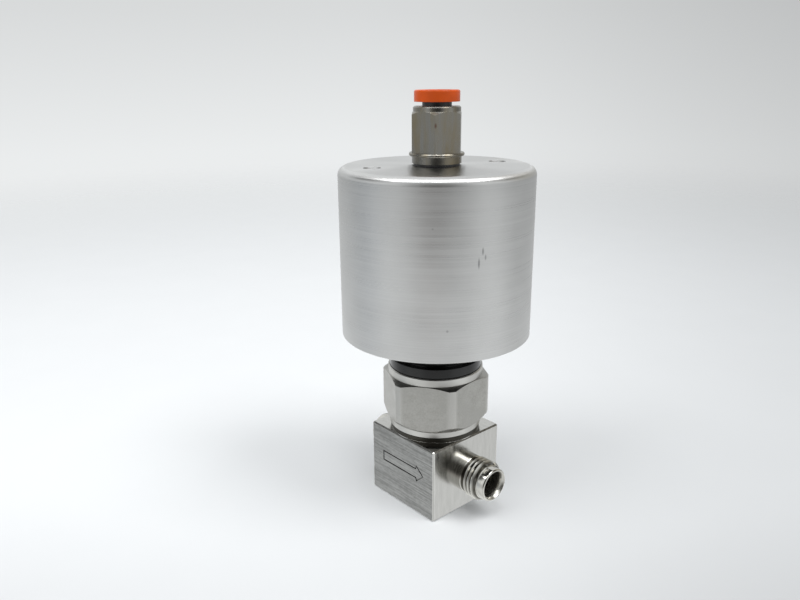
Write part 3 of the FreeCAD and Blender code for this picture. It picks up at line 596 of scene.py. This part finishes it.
@dataclass(frozen=True)
class PlatedBrass:
    """Nickel-plated brass, tarnished: grey and brown patches, faint upright wipe lines."""

    name: str
    colour: tuple
    tarnish: tuple
    marks: tuple = ()

    def material(self) -> bpy.types.Material:
        """Build the material."""
        graph = Graph.surface(self.name)
        graph.set(Metallic=1.0)
        patch = graph.noise((150, 150, 90), 3.0)
        wipe = graph.noise((700, 700, 90), 2.0, (2, 2, 2))
        tone = graph.weigh((patch, 0.6), (wipe, 0.4))
        colour = graph.blend(graph.span(tone, 0.4, 0.62), self.colour, self.tarnish)
        graph.colour(graph.marked(colour, self.marks, (0.09, 0.045, 0.03)))
        graph.roughness(graph.span(wipe, 0.3, 0.7, 0.22, 0.34))
        graph.bump(wipe, 0.000002)
        return graph.owner


@dataclass(frozen=True)
class MouldedPlastic:
    """Plastic or rubber with a faint grain; the actuator's near-black base, whose colour is painted
    shade, uses it too.
    """

    name: str
    colour: tuple
    roughness: float = 0.4
    grain: float = 1800.0
    shine: float = 0.5

    def material(self) -> bpy.types.Material:
        """Build the material."""
        graph = Graph.surface(self.name)
        graph.set(Specular_IOR_Level=self.shine)
        grain = graph.noise((self.grain,) * 3, 3.0)
        cloud = graph.noise((150, 150, 150), 2.0, (1, 3, 5))
        darker = tuple(0.8 * part for part in self.colour)
        graph.colour(graph.blend(graph.span(cloud, 0.4, 0.6), darker, self.colour))
        graph.roughness(graph.span(grain, 0.3, 0.7, self.roughness - 0.05, self.roughness + 0.07))
        graph.bump(grain, 0.000008)
        return graph.owner


def pick(piece: Piece) -> None:
    """Select one object and make it active.

    Args:
        piece: the object.
    """
    bpy.ops.object.select_all(action="DESELECT")
    piece.select_set(True)
    bpy.context.view_layer.objects.active = piece


def apply_modifier(piece: Piece, kind: str, **settings: object) -> None:
    """Add a modifier to a piece and apply it.

    Args:
        piece: the object.
        kind: the modifier's type.
        settings: its settings.
    """
    pick(piece)
    modifier = piece.modifiers.new("step", kind)
    for name, value in settings.items():
        setattr(modifier, name, value)
    bpy.ops.object.modifier_apply(modifier=modifier.name)


def finish_mesh(piece: Piece) -> None:
    """Put a piece's place in its mesh and shade it smooth between its edges.

    Args:
        piece: the object.
    """
    pick(piece)
    bpy.ops.object.transform_apply(location=True, rotation=True, scale=True)
    bpy.ops.object.shade_smooth_by_angle(angle=SMOOTH_ANGLE)
    apply_modifier(piece, "WEIGHTED_NORMAL", keep_sharp=True)


def take(piece: Piece, test: Callable[[Vector], bool]) -> None:
    """Enter edit mode with the corners selected that pass a test.

    Args:
        piece: the object.
        test: tells from a corner's place whether it is taken.
    """
    pick(piece)
    bpy.ops.object.mode_set(mode="EDIT")
    bpy.ops.mesh.select_mode(type="VERT")
    bpy.ops.mesh.select_all(action="DESELECT")
    bpy.ops.object.mode_set(mode="OBJECT")
    for corner in piece.data.vertices:
        corner.select = test(corner.co)
    bpy.ops.object.mode_set(mode="EDIT")


def copy_of(node: str, name: str, join_flat: bool = True) -> Piece:
    """Copy a solid's mesh as a piece of its own, with its seams closed.

    Args:
        node: the solid's name.
        name: the new piece's name.
        join_flat: whether triangles that lie flat together become one face.

    Returns:
        The new piece.
    """
    piece = bpy.data.objects.new(name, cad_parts[node].data.copy())
    bpy.context.scene.collection.objects.link(piece)
    piece.data.materials.clear()
    pick(piece)
    if piece.data.has_custom_normals:
        bpy.ops.mesh.customdata_custom_splitnormals_clear()
    bpy.ops.object.mode_set(mode="EDIT")
    bpy.ops.mesh.select_all(action="SELECT")
    bpy.ops.mesh.remove_doubles(threshold=SEAM)
    if join_flat:
        bpy.ops.mesh.dissolve_limited(angle_limit=radians(0.4))
    bpy.ops.object.mode_set(mode="OBJECT")
    return piece


def soften(piece: Piece, width: float, angle: float = 30.0, segments: int = 2) -> None:
    """Round a piece's edges a little, so that they catch the light.

    Args:
        piece: the object.
        width: width of the rounding, in metres.
        angle: smallest angle between two faces that is rounded, in degrees.
        segments: steps across the rounding.
    """
    apply_modifier(piece, "BEVEL", width=width, segments=segments, limit_method="ANGLE",
                   angle_limit=radians(angle))


def cut(piece: Piece, tool: Piece, keep: Keep) -> None:
    """Cut one object with another and delete the tool.

    Args:
        piece: the object that is cut.
        tool: the object that cuts it.
        keep: which side of the tool's surface stays.
    """
    apply_modifier(piece, "BOOLEAN", operation=keep.value, solver="EXACT", object=tool)
    bpy.data.objects.remove(tool)


def turned(name: str, profile: tuple, steps: int) -> Piece:
    """Turn a ring-shaped piece: a circle is extruded from corner to corner of a profile.

    Args:
        name: the piece's name.
        profile: closed outline, as pairs of height and radius in millimetres.
        steps: sides of the circle.

    Returns:
        The closed piece, round the Z axis.
    """
    bpy.ops.object.select_all(action="DESELECT")
    height, radius = profile[0]
    start = (0, 0, height * MM)
    bpy.ops.mesh.primitive_circle_add(vertices=steps, radius=radius * MM, location=start)
    piece = bpy.context.active_object
    piece.name = name
    bpy.ops.object.mode_set(mode="EDIT")
    for upper, wider in (*profile[1:], profile[0]):
        step = (0, 0, (upper - height) * MM)
        bpy.ops.mesh.extrude_edges_move(TRANSFORM_OT_translate={"value": step})
        bpy.ops.transform.resize(value=(wider / radius, wider / radius, 1))
        height, radius = upper, wider
    bpy.ops.mesh.select_all(action="SELECT")
    bpy.ops.mesh.remove_doubles(threshold=SEAM)
    bpy.ops.mesh.normals_make_consistent(inside=False)
    bpy.ops.object.mode_set(mode="OBJECT")
    bpy.ops.object.transform_apply(location=True, rotation=True, scale=True)
    return piece


def join(pieces: list[Piece]) -> Piece:
    """Make several objects one.

    Args:
        pieces: the objects; the first gives its name.

    Returns:
        The joined object.
    """
    pick(pieces[0])
    for piece in pieces[1:]:
        piece.select_set(True)
    bpy.ops.object.join()
    return pieces[0]


def surface(piece: Piece, finish: object, node: str) -> None:
    """Give a new piece its finish and the solid that it stands for.

    Args:
        piece: the object.
        finish: the finish that builds its material.
        node: the solid that it stands for.
    """
    piece.data.materials.append(finish.material())
    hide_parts(node)
    log.info("%s: %d faces, for %s", piece.name, len(piece.data.polygons), node)


def dress(piece: Piece, finish: object, body: str, node: str) -> None:
    """Give a new piece its finish, its body and the solid that it stands for.

    Args:
        piece: the object.
        finish: the finish that builds its material.
        body: the body that it moves with.
        node: the solid that it stands for.
    """
    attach(piece, body)
    surface(piece, finish, node)


@dataclass
class TubeEnd:
    """Threaded tube end: a turned end with a coned mouth, and the ridge of its thread, in mm."""

    root: float = 4.9
    crest: float = 5.56
    thread_start: float = 15.85
    thread_pitch: float = 1.27
    thread_turns: float = 3.4
    ridge_foot: float = 1.16
    ridge_top: float = 0.16
    ridge_sink: float = 0.03
    steps: int = 128
    profile: tuple = (
        (12.3, 2.2), (13.5, 2.2), (13.5, 3.225), (21.3, 3.225), (22.95, 3.93), (23.0, 4.0),
        (23.0, 4.22), (22.97, 4.28), (22.73, 4.52), (22.66, 4.55), (20.75, 4.55), (20.5, 4.9),
        (15.5, 4.9), (15.2, 5.2), (15.14, 5.25), (12.3, 5.25),
    )

    def build(self, name: str) -> Piece:
        """Build one tube end, standing round the Z axis.

        Args:
            name: the piece's name.

        Returns:
            The tube end.
        """
        return join([turned(name, self.profile, self.steps), self.ridge()])

    def ridge(self) -> Piece:
        """Coil the thread's ridge round the end.

        Returns:
            A closed coil that stands a little into the end.
        """
        bpy.ops.object.select_all(action="DESELECT")
        foot = self.root - self.ridge_sink
        middle = (foot + self.crest) / 2
        bpy.ops.mesh.primitive_plane_add(size=1, location=(middle * MM, 0, self.thread_start * MM),
                                         rotation=(pi / 2, 0, 0))
        ridge = bpy.context.active_object
        ridge.scale = ((self.crest - foot) * MM, self.ridge_foot * MM, 1)
        bpy.ops.object.transform_apply(location=True, rotation=True, scale=True)
        take(ridge, lambda place: place.x > middle * MM)
        bpy.ops.transform.resize(value=(1, 1, self.ridge_top / self.ridge_foot))
        bpy.ops.mesh.select_all(action="SELECT")
        bpy.ops.mesh.delete(type="ONLY_FACE")
        bpy.ops.object.mode_set(mode="OBJECT")
        count = round(self.steps * self.thread_turns)
        apply_modifier(ridge, "SCREW", axis="Z", angle=2 * pi * self.thread_turns, steps=count,
                       render_steps=count, screw_offset=self.thread_pitch * self.thread_turns * MM)
        bpy.ops.object.mode_set(mode="EDIT")
        bpy.ops.mesh.select_all(action="SELECT")
        bpy.ops.mesh.fill_holes(sides=4)
        bpy.ops.mesh.normals_make_consistent(inside=False)
        bpy.ops.object.mode_set(mode="OBJECT")
        return ridge


@dataclass
class BodyBlock:
    """Square block with its two tube ends and the engraved flow arrow."""

    node: str = "valve_body"
    port_height: float = 10.9 * MM
    half: float = 12.7 * MM
    top: float = 21.0 * MM
    flush_gap: float = 0.003 * MM
    flush_size: float = 100 * MM
    arrow_line: float = 0.38 * MM
    arrow_depth: float = 0.2 * MM
    arrow_start: float = -7.9 * MM
    arrow_neck: float = 5.6 * MM
    arrow_barb: float = 0.4 * MM
    arrow_tip: float = 8.9 * MM
    arrow_height: float = 12.1 * MM
    shaft_width: float = 3.1 * MM
    head_width: float = 5.05 * MM
    # The third colour is painted shade on the boss under the nut.
    finish: BlockMetal = BlockMetal(
        "block steel", (0.50, 0.495, 0.475), (0.315, 0.315, 0.305), (0.05, 0.047, 0.04),
        (0.13, 0.13, 0.125), half, top, (9.5 * MM, 6.0 * MM, 17.0 * MM))

    def build(self) -> list[Piece]:
        """Build the block and its ends.

        Returns:
            The block and the two tube ends.
        """
        block = copy_of(self.node, "body_block")
        soften(block, 0.08 * MM, 40.0)
        bpy.ops.object.select_all(action="DESELECT")
        bpy.ops.mesh.primitive_cube_add(size=1)
        flush = bpy.context.active_object
        flush.scale = (2 * (self.half + self.flush_gap), self.flush_size, self.flush_size)
        cut(block, flush, Keep.INSIDE)
        cut(block, self.arrow_outline(), Keep.OUTSIDE)
        ends = []
        for name, side in (("outlet_end", 1), ("inlet_end", -1)):
            end = TubeEnd().build(name)
            end.rotation_euler = (0, side * pi / 2, 0)
            end.location = (0, 0, self.port_height)
            ends.append(end)
        for piece in (block, *ends):
            finish_mesh(piece)
        return [block, *ends]

    def arrow_outline(self) -> Piece:
        """Make the engraved outline of the flow arrow, as a closed frame to cut with.

        Returns:
            The cutting frame, standing across the front face.
        """
        bpy.ops.object.select_all(action="DESELECT")
        length = self.arrow_neck - self.arrow_start
        middle = (self.arrow_neck + self.arrow_start) / 2
        place = (middle, self.arrow_depth - self.half, self.arrow_height)
        bpy.ops.mesh.primitive_plane_add(size=1, rotation=(pi / 2, 0, 0), location=place)
        tool = bpy.context.active_object
        tool.scale = (length, self.shaft_width, 1)
        bpy.ops.object.transform_apply(location=True, rotation=True, scale=True)
        take(tool, lambda place: place.x > middle)
        barb = (self.arrow_barb, 0, 0)
        bpy.ops.mesh.extrude_edges_move(TRANSFORM_OT_translate={"value": barb})
        bpy.ops.transform.resize(value=(1, 1, self.head_width / self.shaft_width))
        point = (self.arrow_tip - self.arrow_neck - self.arrow_barb, 0, 0)
        bpy.ops.mesh.extrude_edges_move(TRANSFORM_OT_translate={"value": point})
        bpy.ops.mesh.merge(type="CENTER")
        bpy.ops.mesh.select_all(action="SELECT")
        bpy.ops.mesh.dissolve_faces()
        bpy.ops.mesh.select_mode(type="FACE")
        bpy.ops.mesh.select_all(action="SELECT")
        bpy.ops.mesh.inset(thickness=self.arrow_line, depth=0.0)
        bpy.ops.mesh.delete(type="FACE")
        bpy.ops.mesh.select_all(action="SELECT")
        outward = (0, -3 * self.arrow_depth, 0)
        bpy.ops.mesh.extrude_region_move(TRANSFORM_OT_translate={"value": outward})
        bpy.ops.mesh.select_all(action="SELECT")
        bpy.ops.mesh.normals_make_consistent(inside=False)
        bpy.ops.object.mode_set(mode="OBJECT")
        return tool

    def dress(self, pieces: list[Piece]) -> None:
        """Finish the block and its ends, and let them stand for their solid."""
        block, *ends = pieces
        dress(block, self.finish, HOUSING, self.node)
        # The second colour is painted shade in the roots of the thread.
        polished = ThreadSteel("polished ends", (0.52, 0.51, 0.475), (0.10, 0.095, 0.08))
        for end in ends:
            dress(end, polished, HOUSING, self.node)


@dataclass
class UnionNut:
    """Hexagonal union nut in satin steel."""

    node: str = "bonnet_nut"
    edge: float = 0.12 * MM
    finish: BlastedMetal = BlastedMetal("nut steel", (0.40, 0.395, 0.375), (0.31, 0.305, 0.285),
                                        turned=(24.1 * MM, 37.56 * MM), corner=14.85 * MM)

    def build(self) -> Piece:
        """Build the nut.

        Returns:
            The piece.
        """
        piece = copy_of(self.node, "union_nut")
        soften(piece, self.edge, 25.0)
        finish_mesh(piece)
        return piece

    def dress(self, piece: Piece) -> None:
        """Finish the nut and let it stand for its solid."""
        dress(piece, self.finish, HOUSING, self.node)


@dataclass
class Actuator:
    """Aluminium cap and the base that closes it from below."""

    spanner_holes: tuple = (
        Mark((-7.6 * MM, -14.9 * MM, 93.86 * MM), 2.2 * MM),
        Mark((4.5 * MM, 18.1 * MM, 93.86 * MM), 2.2 * MM),
    )
    cap_marks: tuple = (
        Mark((23.7 * MM, -9.0 * MM, 73.7 * MM), 0.32 * MM, (1, 1, 0.2), 0.55),
        Mark((24.1 * MM, -8.1 * MM, 76.5 * MM), 0.34 * MM, (1, 1, 0.3), 0.5),
        Mark((24.3 * MM, -7.4 * MM, 75.0 * MM), 0.3 * MM, (1, 1, 0.35), 0.45),
        Mark((20.1 * MM, -15.5 * MM, 57.5 * MM), 0.4 * MM, (1, 1, 1), 0.35),
        Mark((17.7 * MM, -18.2 * MM, 82.2 * MM), 0.3 * MM, (1, 1, 1), 0.25),
    )

    def build(self) -> list[Piece]:
        """Build the cap and the base.

        Returns:
            The two pieces.
        """
        cap = copy_of("actuator_cap", "cap_shell")
        base = copy_of("actuator_base", "cap_base")
        for piece in (cap, base):
            soften(piece, 0.1 * MM, 30.0)
            finish_mesh(piece)
        return [cap, base]

    def dress(self, pieces: list[Piece]) -> None:
        """Finish both pieces and let them stand for their solids."""
        cap, base = pieces
        # The spanner holes get painted light: pale walls without metal shine.
        bright = TurnedMetal("cap aluminium", (0.56, 0.56, 0.555), (0.47, 0.47, 0.465), 0.31,
                             anisotropy=0.8, marks=self.cap_marks, holes=self.spanner_holes)
        # Painted shade: the base is painted near black for the shade under the cap.
        black = MouldedPlastic("near-black base, painted shade", (0.006, 0.006, 0.006), 0.15, shine=0.35)
        dress(cap, bright, HOUSING, "actuator_cap")
        dress(base, black, HOUSING, "actuator_base")


@dataclass
class AirFitting:
    """Push-in fitting: plated body, dark sleeve and orange release ring."""

    rust: tuple = (
        Mark((4.9 * MM, -5.1 * MM, 103.9 * MM), 0.5 * MM, (1, 1, 0.6), 0.8),
        Mark((6.2 * MM, -1.8 * MM, 100.4 * MM), 0.35 * MM, (1, 1, 1), 0.5),
    )

    def build(self) -> list[Piece]:
        """Build the body and the ring.

        Returns:
            The two pieces.
        """
        body = copy_of("fitting_body", "fitting_shell")
        ring = copy_of("release_ring", "push_ring")
        soften(body, 0.1 * MM, 25.0)
        soften(ring, 0.08 * MM, 30.0)
        finish_mesh(body)
        finish_mesh(ring)
        return [body, ring]

    def dress(self, pieces: list[Piece]) -> None:
        """Finish both pieces and let them stand for their solids."""
        body, ring = pieces
        plated = PlatedBrass("plated brass", (0.185, 0.18, 0.165), (0.18, 0.155, 0.108), self.rust)
        orange = MouldedPlastic("orange plastic", (0.64, 0.085, 0.006), 0.34, shine=0.2)
        dress(body, plated, HOUSING, "fitting_body")
        dress(ring, orange, RELEASE, "release_ring")


@dataclass
class StretchingParts:
    """Bellows and return spring, which change length when the stem moves."""

    bellows_still: float = 33.0 * MM
    bellows_carried: float = 20.65 * MM
    spring_still: float = 58.5 * MM
    spring_carried: float = 75.9 * MM

    def build(self) -> list[Piece]:
        """Build the bellows and the spring.

        Returns:
            The two pieces.
        """
        bellows = copy_of("bellows", "stem_bellows", join_flat=False)
        spring = copy_of("return_spring", "opening_spring", join_flat=False)
        for piece in (bellows, spring):
            finish_mesh(piece)
        return [bellows, spring]

    def dress(self, pieces: list[Piece]) -> None:
        """Finish both pieces, put their placement into their meshes, and let them stand for their
        solids.
        """
        bellows, spring = pieces
        formed = TurnedMetal("bellows steel", (0.6, 0.6, 0.58), (0.52, 0.52, 0.5), 0.2, lines=2500.0)
        wire = BlastedMetal("spring wire", (0.42, 0.42, 0.42), (0.33, 0.33, 0.33), 0.3)
        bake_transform(bellows)
        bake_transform(spring)
        surface(bellows, formed, "bellows")
        surface(spring, wire, "return_spring")


@dataclass
class InnerParts:
    """Solids that stay as they are and only get their finish."""

    def finishes(self) -> dict[str, object]:
        """Name each solid's finish.

        Returns:
            The finish of each solid that isn't replaced.
        """
        steel = TurnedMetal("turned steel", (0.55, 0.55, 0.54), (0.46, 0.46, 0.45), 0.25)
        formed = TurnedMetal("formed steel", (0.6, 0.6, 0.58), (0.52, 0.52, 0.5), 0.2, lines=2500.0)
        aluminium = TurnedMetal("piston aluminium", (0.58, 0.58, 0.58), (0.48, 0.48, 0.48), 0.33)
        silver = BlastedMetal("silver plate", (0.75, 0.74, 0.70), (0.66, 0.65, 0.62), 0.28)
        bronze = BlastedMetal("sintered bronze", (0.42, 0.27, 0.12), (0.33, 0.20, 0.09), 0.42)
        rubber = MouldedPlastic("dark rubber", (0.02, 0.02, 0.021), 0.5)
        sleeve = MouldedPlastic("dark plastic", (0.018, 0.017, 0.017), 0.4)
        tip = MouldedPlastic("seat plastic", (0.75, 0.73, 0.66), 0.45)
        return {
            "body_gasket": silver, "bellows_flange": steel, "stem": steel,
            "stem_tip": tip, "bonnet": steel, "guide_bush": bronze, "rod_bush": bronze,
            "actuator_rod": steel, "piston": aluminium, "piston_seal": rubber, "piston_washer": steel,
            "piston_nut": steel, "fitting_seal": rubber, "tube_seal": rubber,
            "tube_gripper": formed, "gripper_retainer": steel, "release_sleeve": sleeve,
        }

    def dress(self) -> None:
        """Give each solid its finish."""
        made = {}
        for node, finish in self.finishes().items():
            material = made.get(finish.name) or finish.material()
            made[finish.name] = material
            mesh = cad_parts[node].data
            mesh.materials.clear()
            mesh.materials.append(material)
            log.info("%s: %s", node, finish.name)


@dataclass
class Camera:
    """Camera at the photograph's place, from the solved view."""

    place: tuple = VIEWPOINT
    yaw: float = 2.425699
    pitch: float = 0.299566
    roll: float = -0.008523
    lens: float = 32.4655
    sensor: float = 36.0
    nearest: float = 0.005

    def build(self) -> None:
        """Add the camera and make it the scene's."""
        ahead = Vector((cos(self.pitch) * cos(self.yaw), cos(self.pitch) * sin(self.yaw),
                        -sin(self.pitch)))
        level = Vector((sin(self.yaw), -cos(self.yaw), 0.0))
        above = level.cross(ahead)
        right = cos(self.roll) * level + sin(self.roll) * above
        up = cos(self.roll) * above - sin(self.roll) * level
        data = bpy.data.cameras.new("camera")
        data.lens = self.lens
        data.sensor_width = self.sensor
        data.clip_start = self.nearest
        camera = bpy.data.objects.new("camera", data)
        bpy.context.scene.collection.objects.link(camera)
        axes = Matrix((right, up, -ahead)).transposed()
        camera.matrix_world = Matrix.Translation(self.place) @ axes.to_4x4()
        bpy.context.scene.camera = camera


@dataclass(frozen=True)
class Softbox:
    """A square lamp that faces the valve."""

    name: str
    azimuth: float
    elevation: float
    side: float
    power: float
    distance: float = 0.9


@dataclass(frozen=True)
class Band:
    """Upright light band that the metal shows, at an azimuth in degrees."""

    azimuth: float
    reach: float
    strength: float


@dataclass(frozen=True)
class Shade:
    """Something dark or coloured that stands round the valve, seen only in the metal."""

    azimuth: float
    elevation: float
    reach: float
    tone: tuple


@dataclass
class Studio:
    """Pale floor, soft surroundings and lamps."""

    lamps: tuple = (
        Softbox("left_box", -104.0, 58.0, 0.4, 2.3),
        Softbox("right_box", 24.0, 58.0, 0.4, 3.3),
        Softbox("top_box", -44.0, 66.0, 0.25, 1.3),
    )
    bands: tuple = (Band(-98.0, 34.0, 0.28), Band(19.0, 32.0, 0.3), Band(178.0, 36.0, 0.17))
    surround: tuple = (
        (-1.0, 1.05), (-0.45, 1.0), (-0.34, 0.89), (-0.24, 0.74), (-0.14, 0.62), (0.02, 0.62),
        (0.2, 0.95), (1.0, 1.1),
    )
    shades: tuple = (
        Shade(-44.0, 20.0, 40.0, (0.1, 0.095, 0.085)),
        Shade(-139.0, 37.0, 28.0, (0.14, 0.14, 0.14)),
        Shade(50.0, 40.0, 26.0, (0.14, 0.13, 0.11)),
        Shade(72.0, 26.0, 34.0, (0.62, 0.58, 0.5)),
        Shade(-72.0, 48.0, 15.0, (0.5, 0.52, 0.54)),
        Shade(-130.0, -8.0, 24.0, (0.93, 0.96, 1.0)),
        Shade(-50.0, -8.0, 18.0, (1.0, 0.955, 0.94)),
    )
    backdrop: tuple = ((-1.0, 0.90), (-0.09, 0.85), (0.08, 0.71), (0.4, 0.60), (1.0, 0.60))
    tint: tuple = (0.975, 0.995, 1.0)
    target: float = 60 * MM
    viewpoint: tuple = (*VIEWPOINT[:2], 0.0)
    forward: tuple = (0.72, -0.69, 0.0)
    left: float = 229.0
    left_fall: tuple = (-0.7, 0.1, 0.7, 1.0)
    front_fall: tuple = (-0.01, 0.09, 1.0, 0.8)
    daylight: float = 0.58
    floor_size: float = 6.0
    floor_steps: int = 96
    floor_fade: tuple = (0.2, 0.9)

    def build(self) -> None:
        """Add the floor, the world and the lamps."""
        self.add_floor()
        self.add_world()
        for lamp in self.lamps:
            self.add_lamp(lamp)
        bpy.context.scene.view_settings.view_transform = "Standard"

    def falloff(self, graph: Graph, heading: Socket) -> Socket:
        """Painted shade: darken the floor's colour and the backdrop towards the right.

        Args:
            graph: the node tree.
            heading: direction or place seen from the viewpoint.

        Returns:
            A factor that falls below 1 on the right.
        """
        return graph.smooth(graph.toward(heading, self.left), *self.left_fall)

    def add_floor(self) -> None:
        """Add the floor, which fades into the backdrop far away; its colour carries painted shade
        towards the right and towards the viewpoint.
        """
        bpy.ops.object.select_all(action="DESELECT")
        bpy.ops.mesh.primitive_circle_add(vertices=self.floor_steps, radius=self.floor_size / 2,
                                          fill_type="NGON")
        floor = bpy.context.active_object
        floor.name = "floor"
        floor.visible_glossy = False
        graph = Graph.surface("pale floor")
        graph.set(Roughness=0.9, Specular_IOR_Level=0.1)
        grain = graph.noise((40, 40, 40), 2.0)
        paper = graph.blend(grain, (0.835, 0.85, 0.865), (0.855, 0.87, 0.885))
        # Painted shade: the floor's colour darkens towards the right and towards the viewpoint.
        shade = self.falloff(graph, graph.vector("SUBTRACT", graph.place, self.viewpoint))
        front = graph.vector("DOT_PRODUCT", graph.place, self.forward, "Value")
        shade = graph.maths("MULTIPLY", shade, graph.smooth(front, *self.front_fall))
        graph.colour(graph.vector("MULTIPLY", paper, shade))
        distance = graph.vector("LENGTH", graph.place, output="Value")
        fade = graph.smooth(distance, *self.floor_fade, 0.0, 1.0)
        clear = graph.nodes.new("ShaderNodeBsdfTransparent")
        mix = graph.add("MixShader", {0: fade, 1: graph.shader.outputs[0], 2: clear.outputs[0]})
        graph.links.new(mix.outputs[0], graph.nodes["Material Output"].inputs["Surface"])
        floor.data.materials.append(graph.owner)

    def add_world(self) -> None:
        """Light the scene evenly, mirror surroundings in the metal and show a pale backdrop."""
        world = bpy.data.worlds.new("studio")
        bpy.context.scene.world = world
        graph = Graph(world, "Background", "Generated")
        graph.set(Color=(*self.tint, 1.0), Strength=self.daylight)
        height = graph.part("Z")
        around = graph.profile(height, self.surround)
        for band in self.bands:
            near = graph.toward(graph.place, band.azimuth)
            gain = graph.smooth(near, cos(radians(band.reach)), 1.0, 0.0, band.strength)
            around = graph.maths("ADD", around, gain)
        hue = self.tint
        for shade in self.shades:
            turn, lift = radians(shade.azimuth), radians(shade.elevation)
            way = (cos(lift) * cos(turn), cos(lift) * sin(turn), sin(lift))
            near = graph.vector("DOT_PRODUCT", graph.place, way, "Value")
            edge, core = cos(radians(shade.reach)), cos(radians(shade.reach / 3))
            reached = graph.smooth(near, edge, core, 0.0, 1.0)
            kept = graph.blend(reached, (1.0, 1.0, 1.0), shade.tone)
            hue = graph.vector("MULTIPLY", hue, kept)
        mirrored = graph.add("Background", {"Color": hue, "Strength": around})
        far = graph.profile(height, self.backdrop)
        # Painted shade: the backdrop darkens towards the right.
        far = graph.maths("MULTIPLY", far, self.falloff(graph, graph.place))
        shown = graph.add("Background", {"Color": (*self.tint, 1.0), "Strength": far})
        path = graph.nodes.new("ShaderNodeLightPath")
        bounced = graph.maths("MAXIMUM", path.outputs["Is Glossy Ray"],
                              path.outputs["Is Transmission Ray"])
        daylight = graph.shader.outputs[0]
        metal = graph.add("MixShader", {0: bounced, 1: daylight, 2: mirrored.outputs[0]})
        seen = path.outputs["Is Camera Ray"]
        every = graph.add("MixShader", {0: seen, 1: metal.outputs[0], 2: shown.outputs[0]})
        graph.links.new(every.outputs[0], graph.nodes["World Output"].inputs["Surface"])

    def add_lamp(self, lamp: Softbox) -> None:
        """Add one lamp, aimed at the middle of the valve.

        Args:
            lamp: the lamp.
        """
        turn, lift = radians(lamp.azimuth), radians(lamp.elevation)
        away = Vector((cos(lift) * cos(turn), cos(lift) * sin(turn), sin(lift)))
        data = bpy.data.lights.new(lamp.name, "AREA")
        data.size = lamp.side
        data.energy = lamp.power
        light = bpy.data.objects.new(lamp.name, data)
        bpy.context.scene.collection.objects.link(light)
        light.location = away * lamp.distance + Vector((0, 0, self.target))
        light.rotation_euler = away.to_track_quat("Z", "Y").to_euler()


def main() -> None:
    """Build every piece in order, then the light and the camera; the new pieces' face counts are
    logged.
    """
    logging.basicConfig(level=logging.INFO, format="%(name)s: %(message)s")
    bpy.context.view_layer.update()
    for group in (BodyBlock(), UnionNut(), Actuator(), AirFitting(), StretchingParts()):
        group.dress(group.build())
    InnerParts().dress()
    Studio().build()
    Camera().build()
    bpy.context.view_layer.update()


if __name__ == "__main__":
    main()
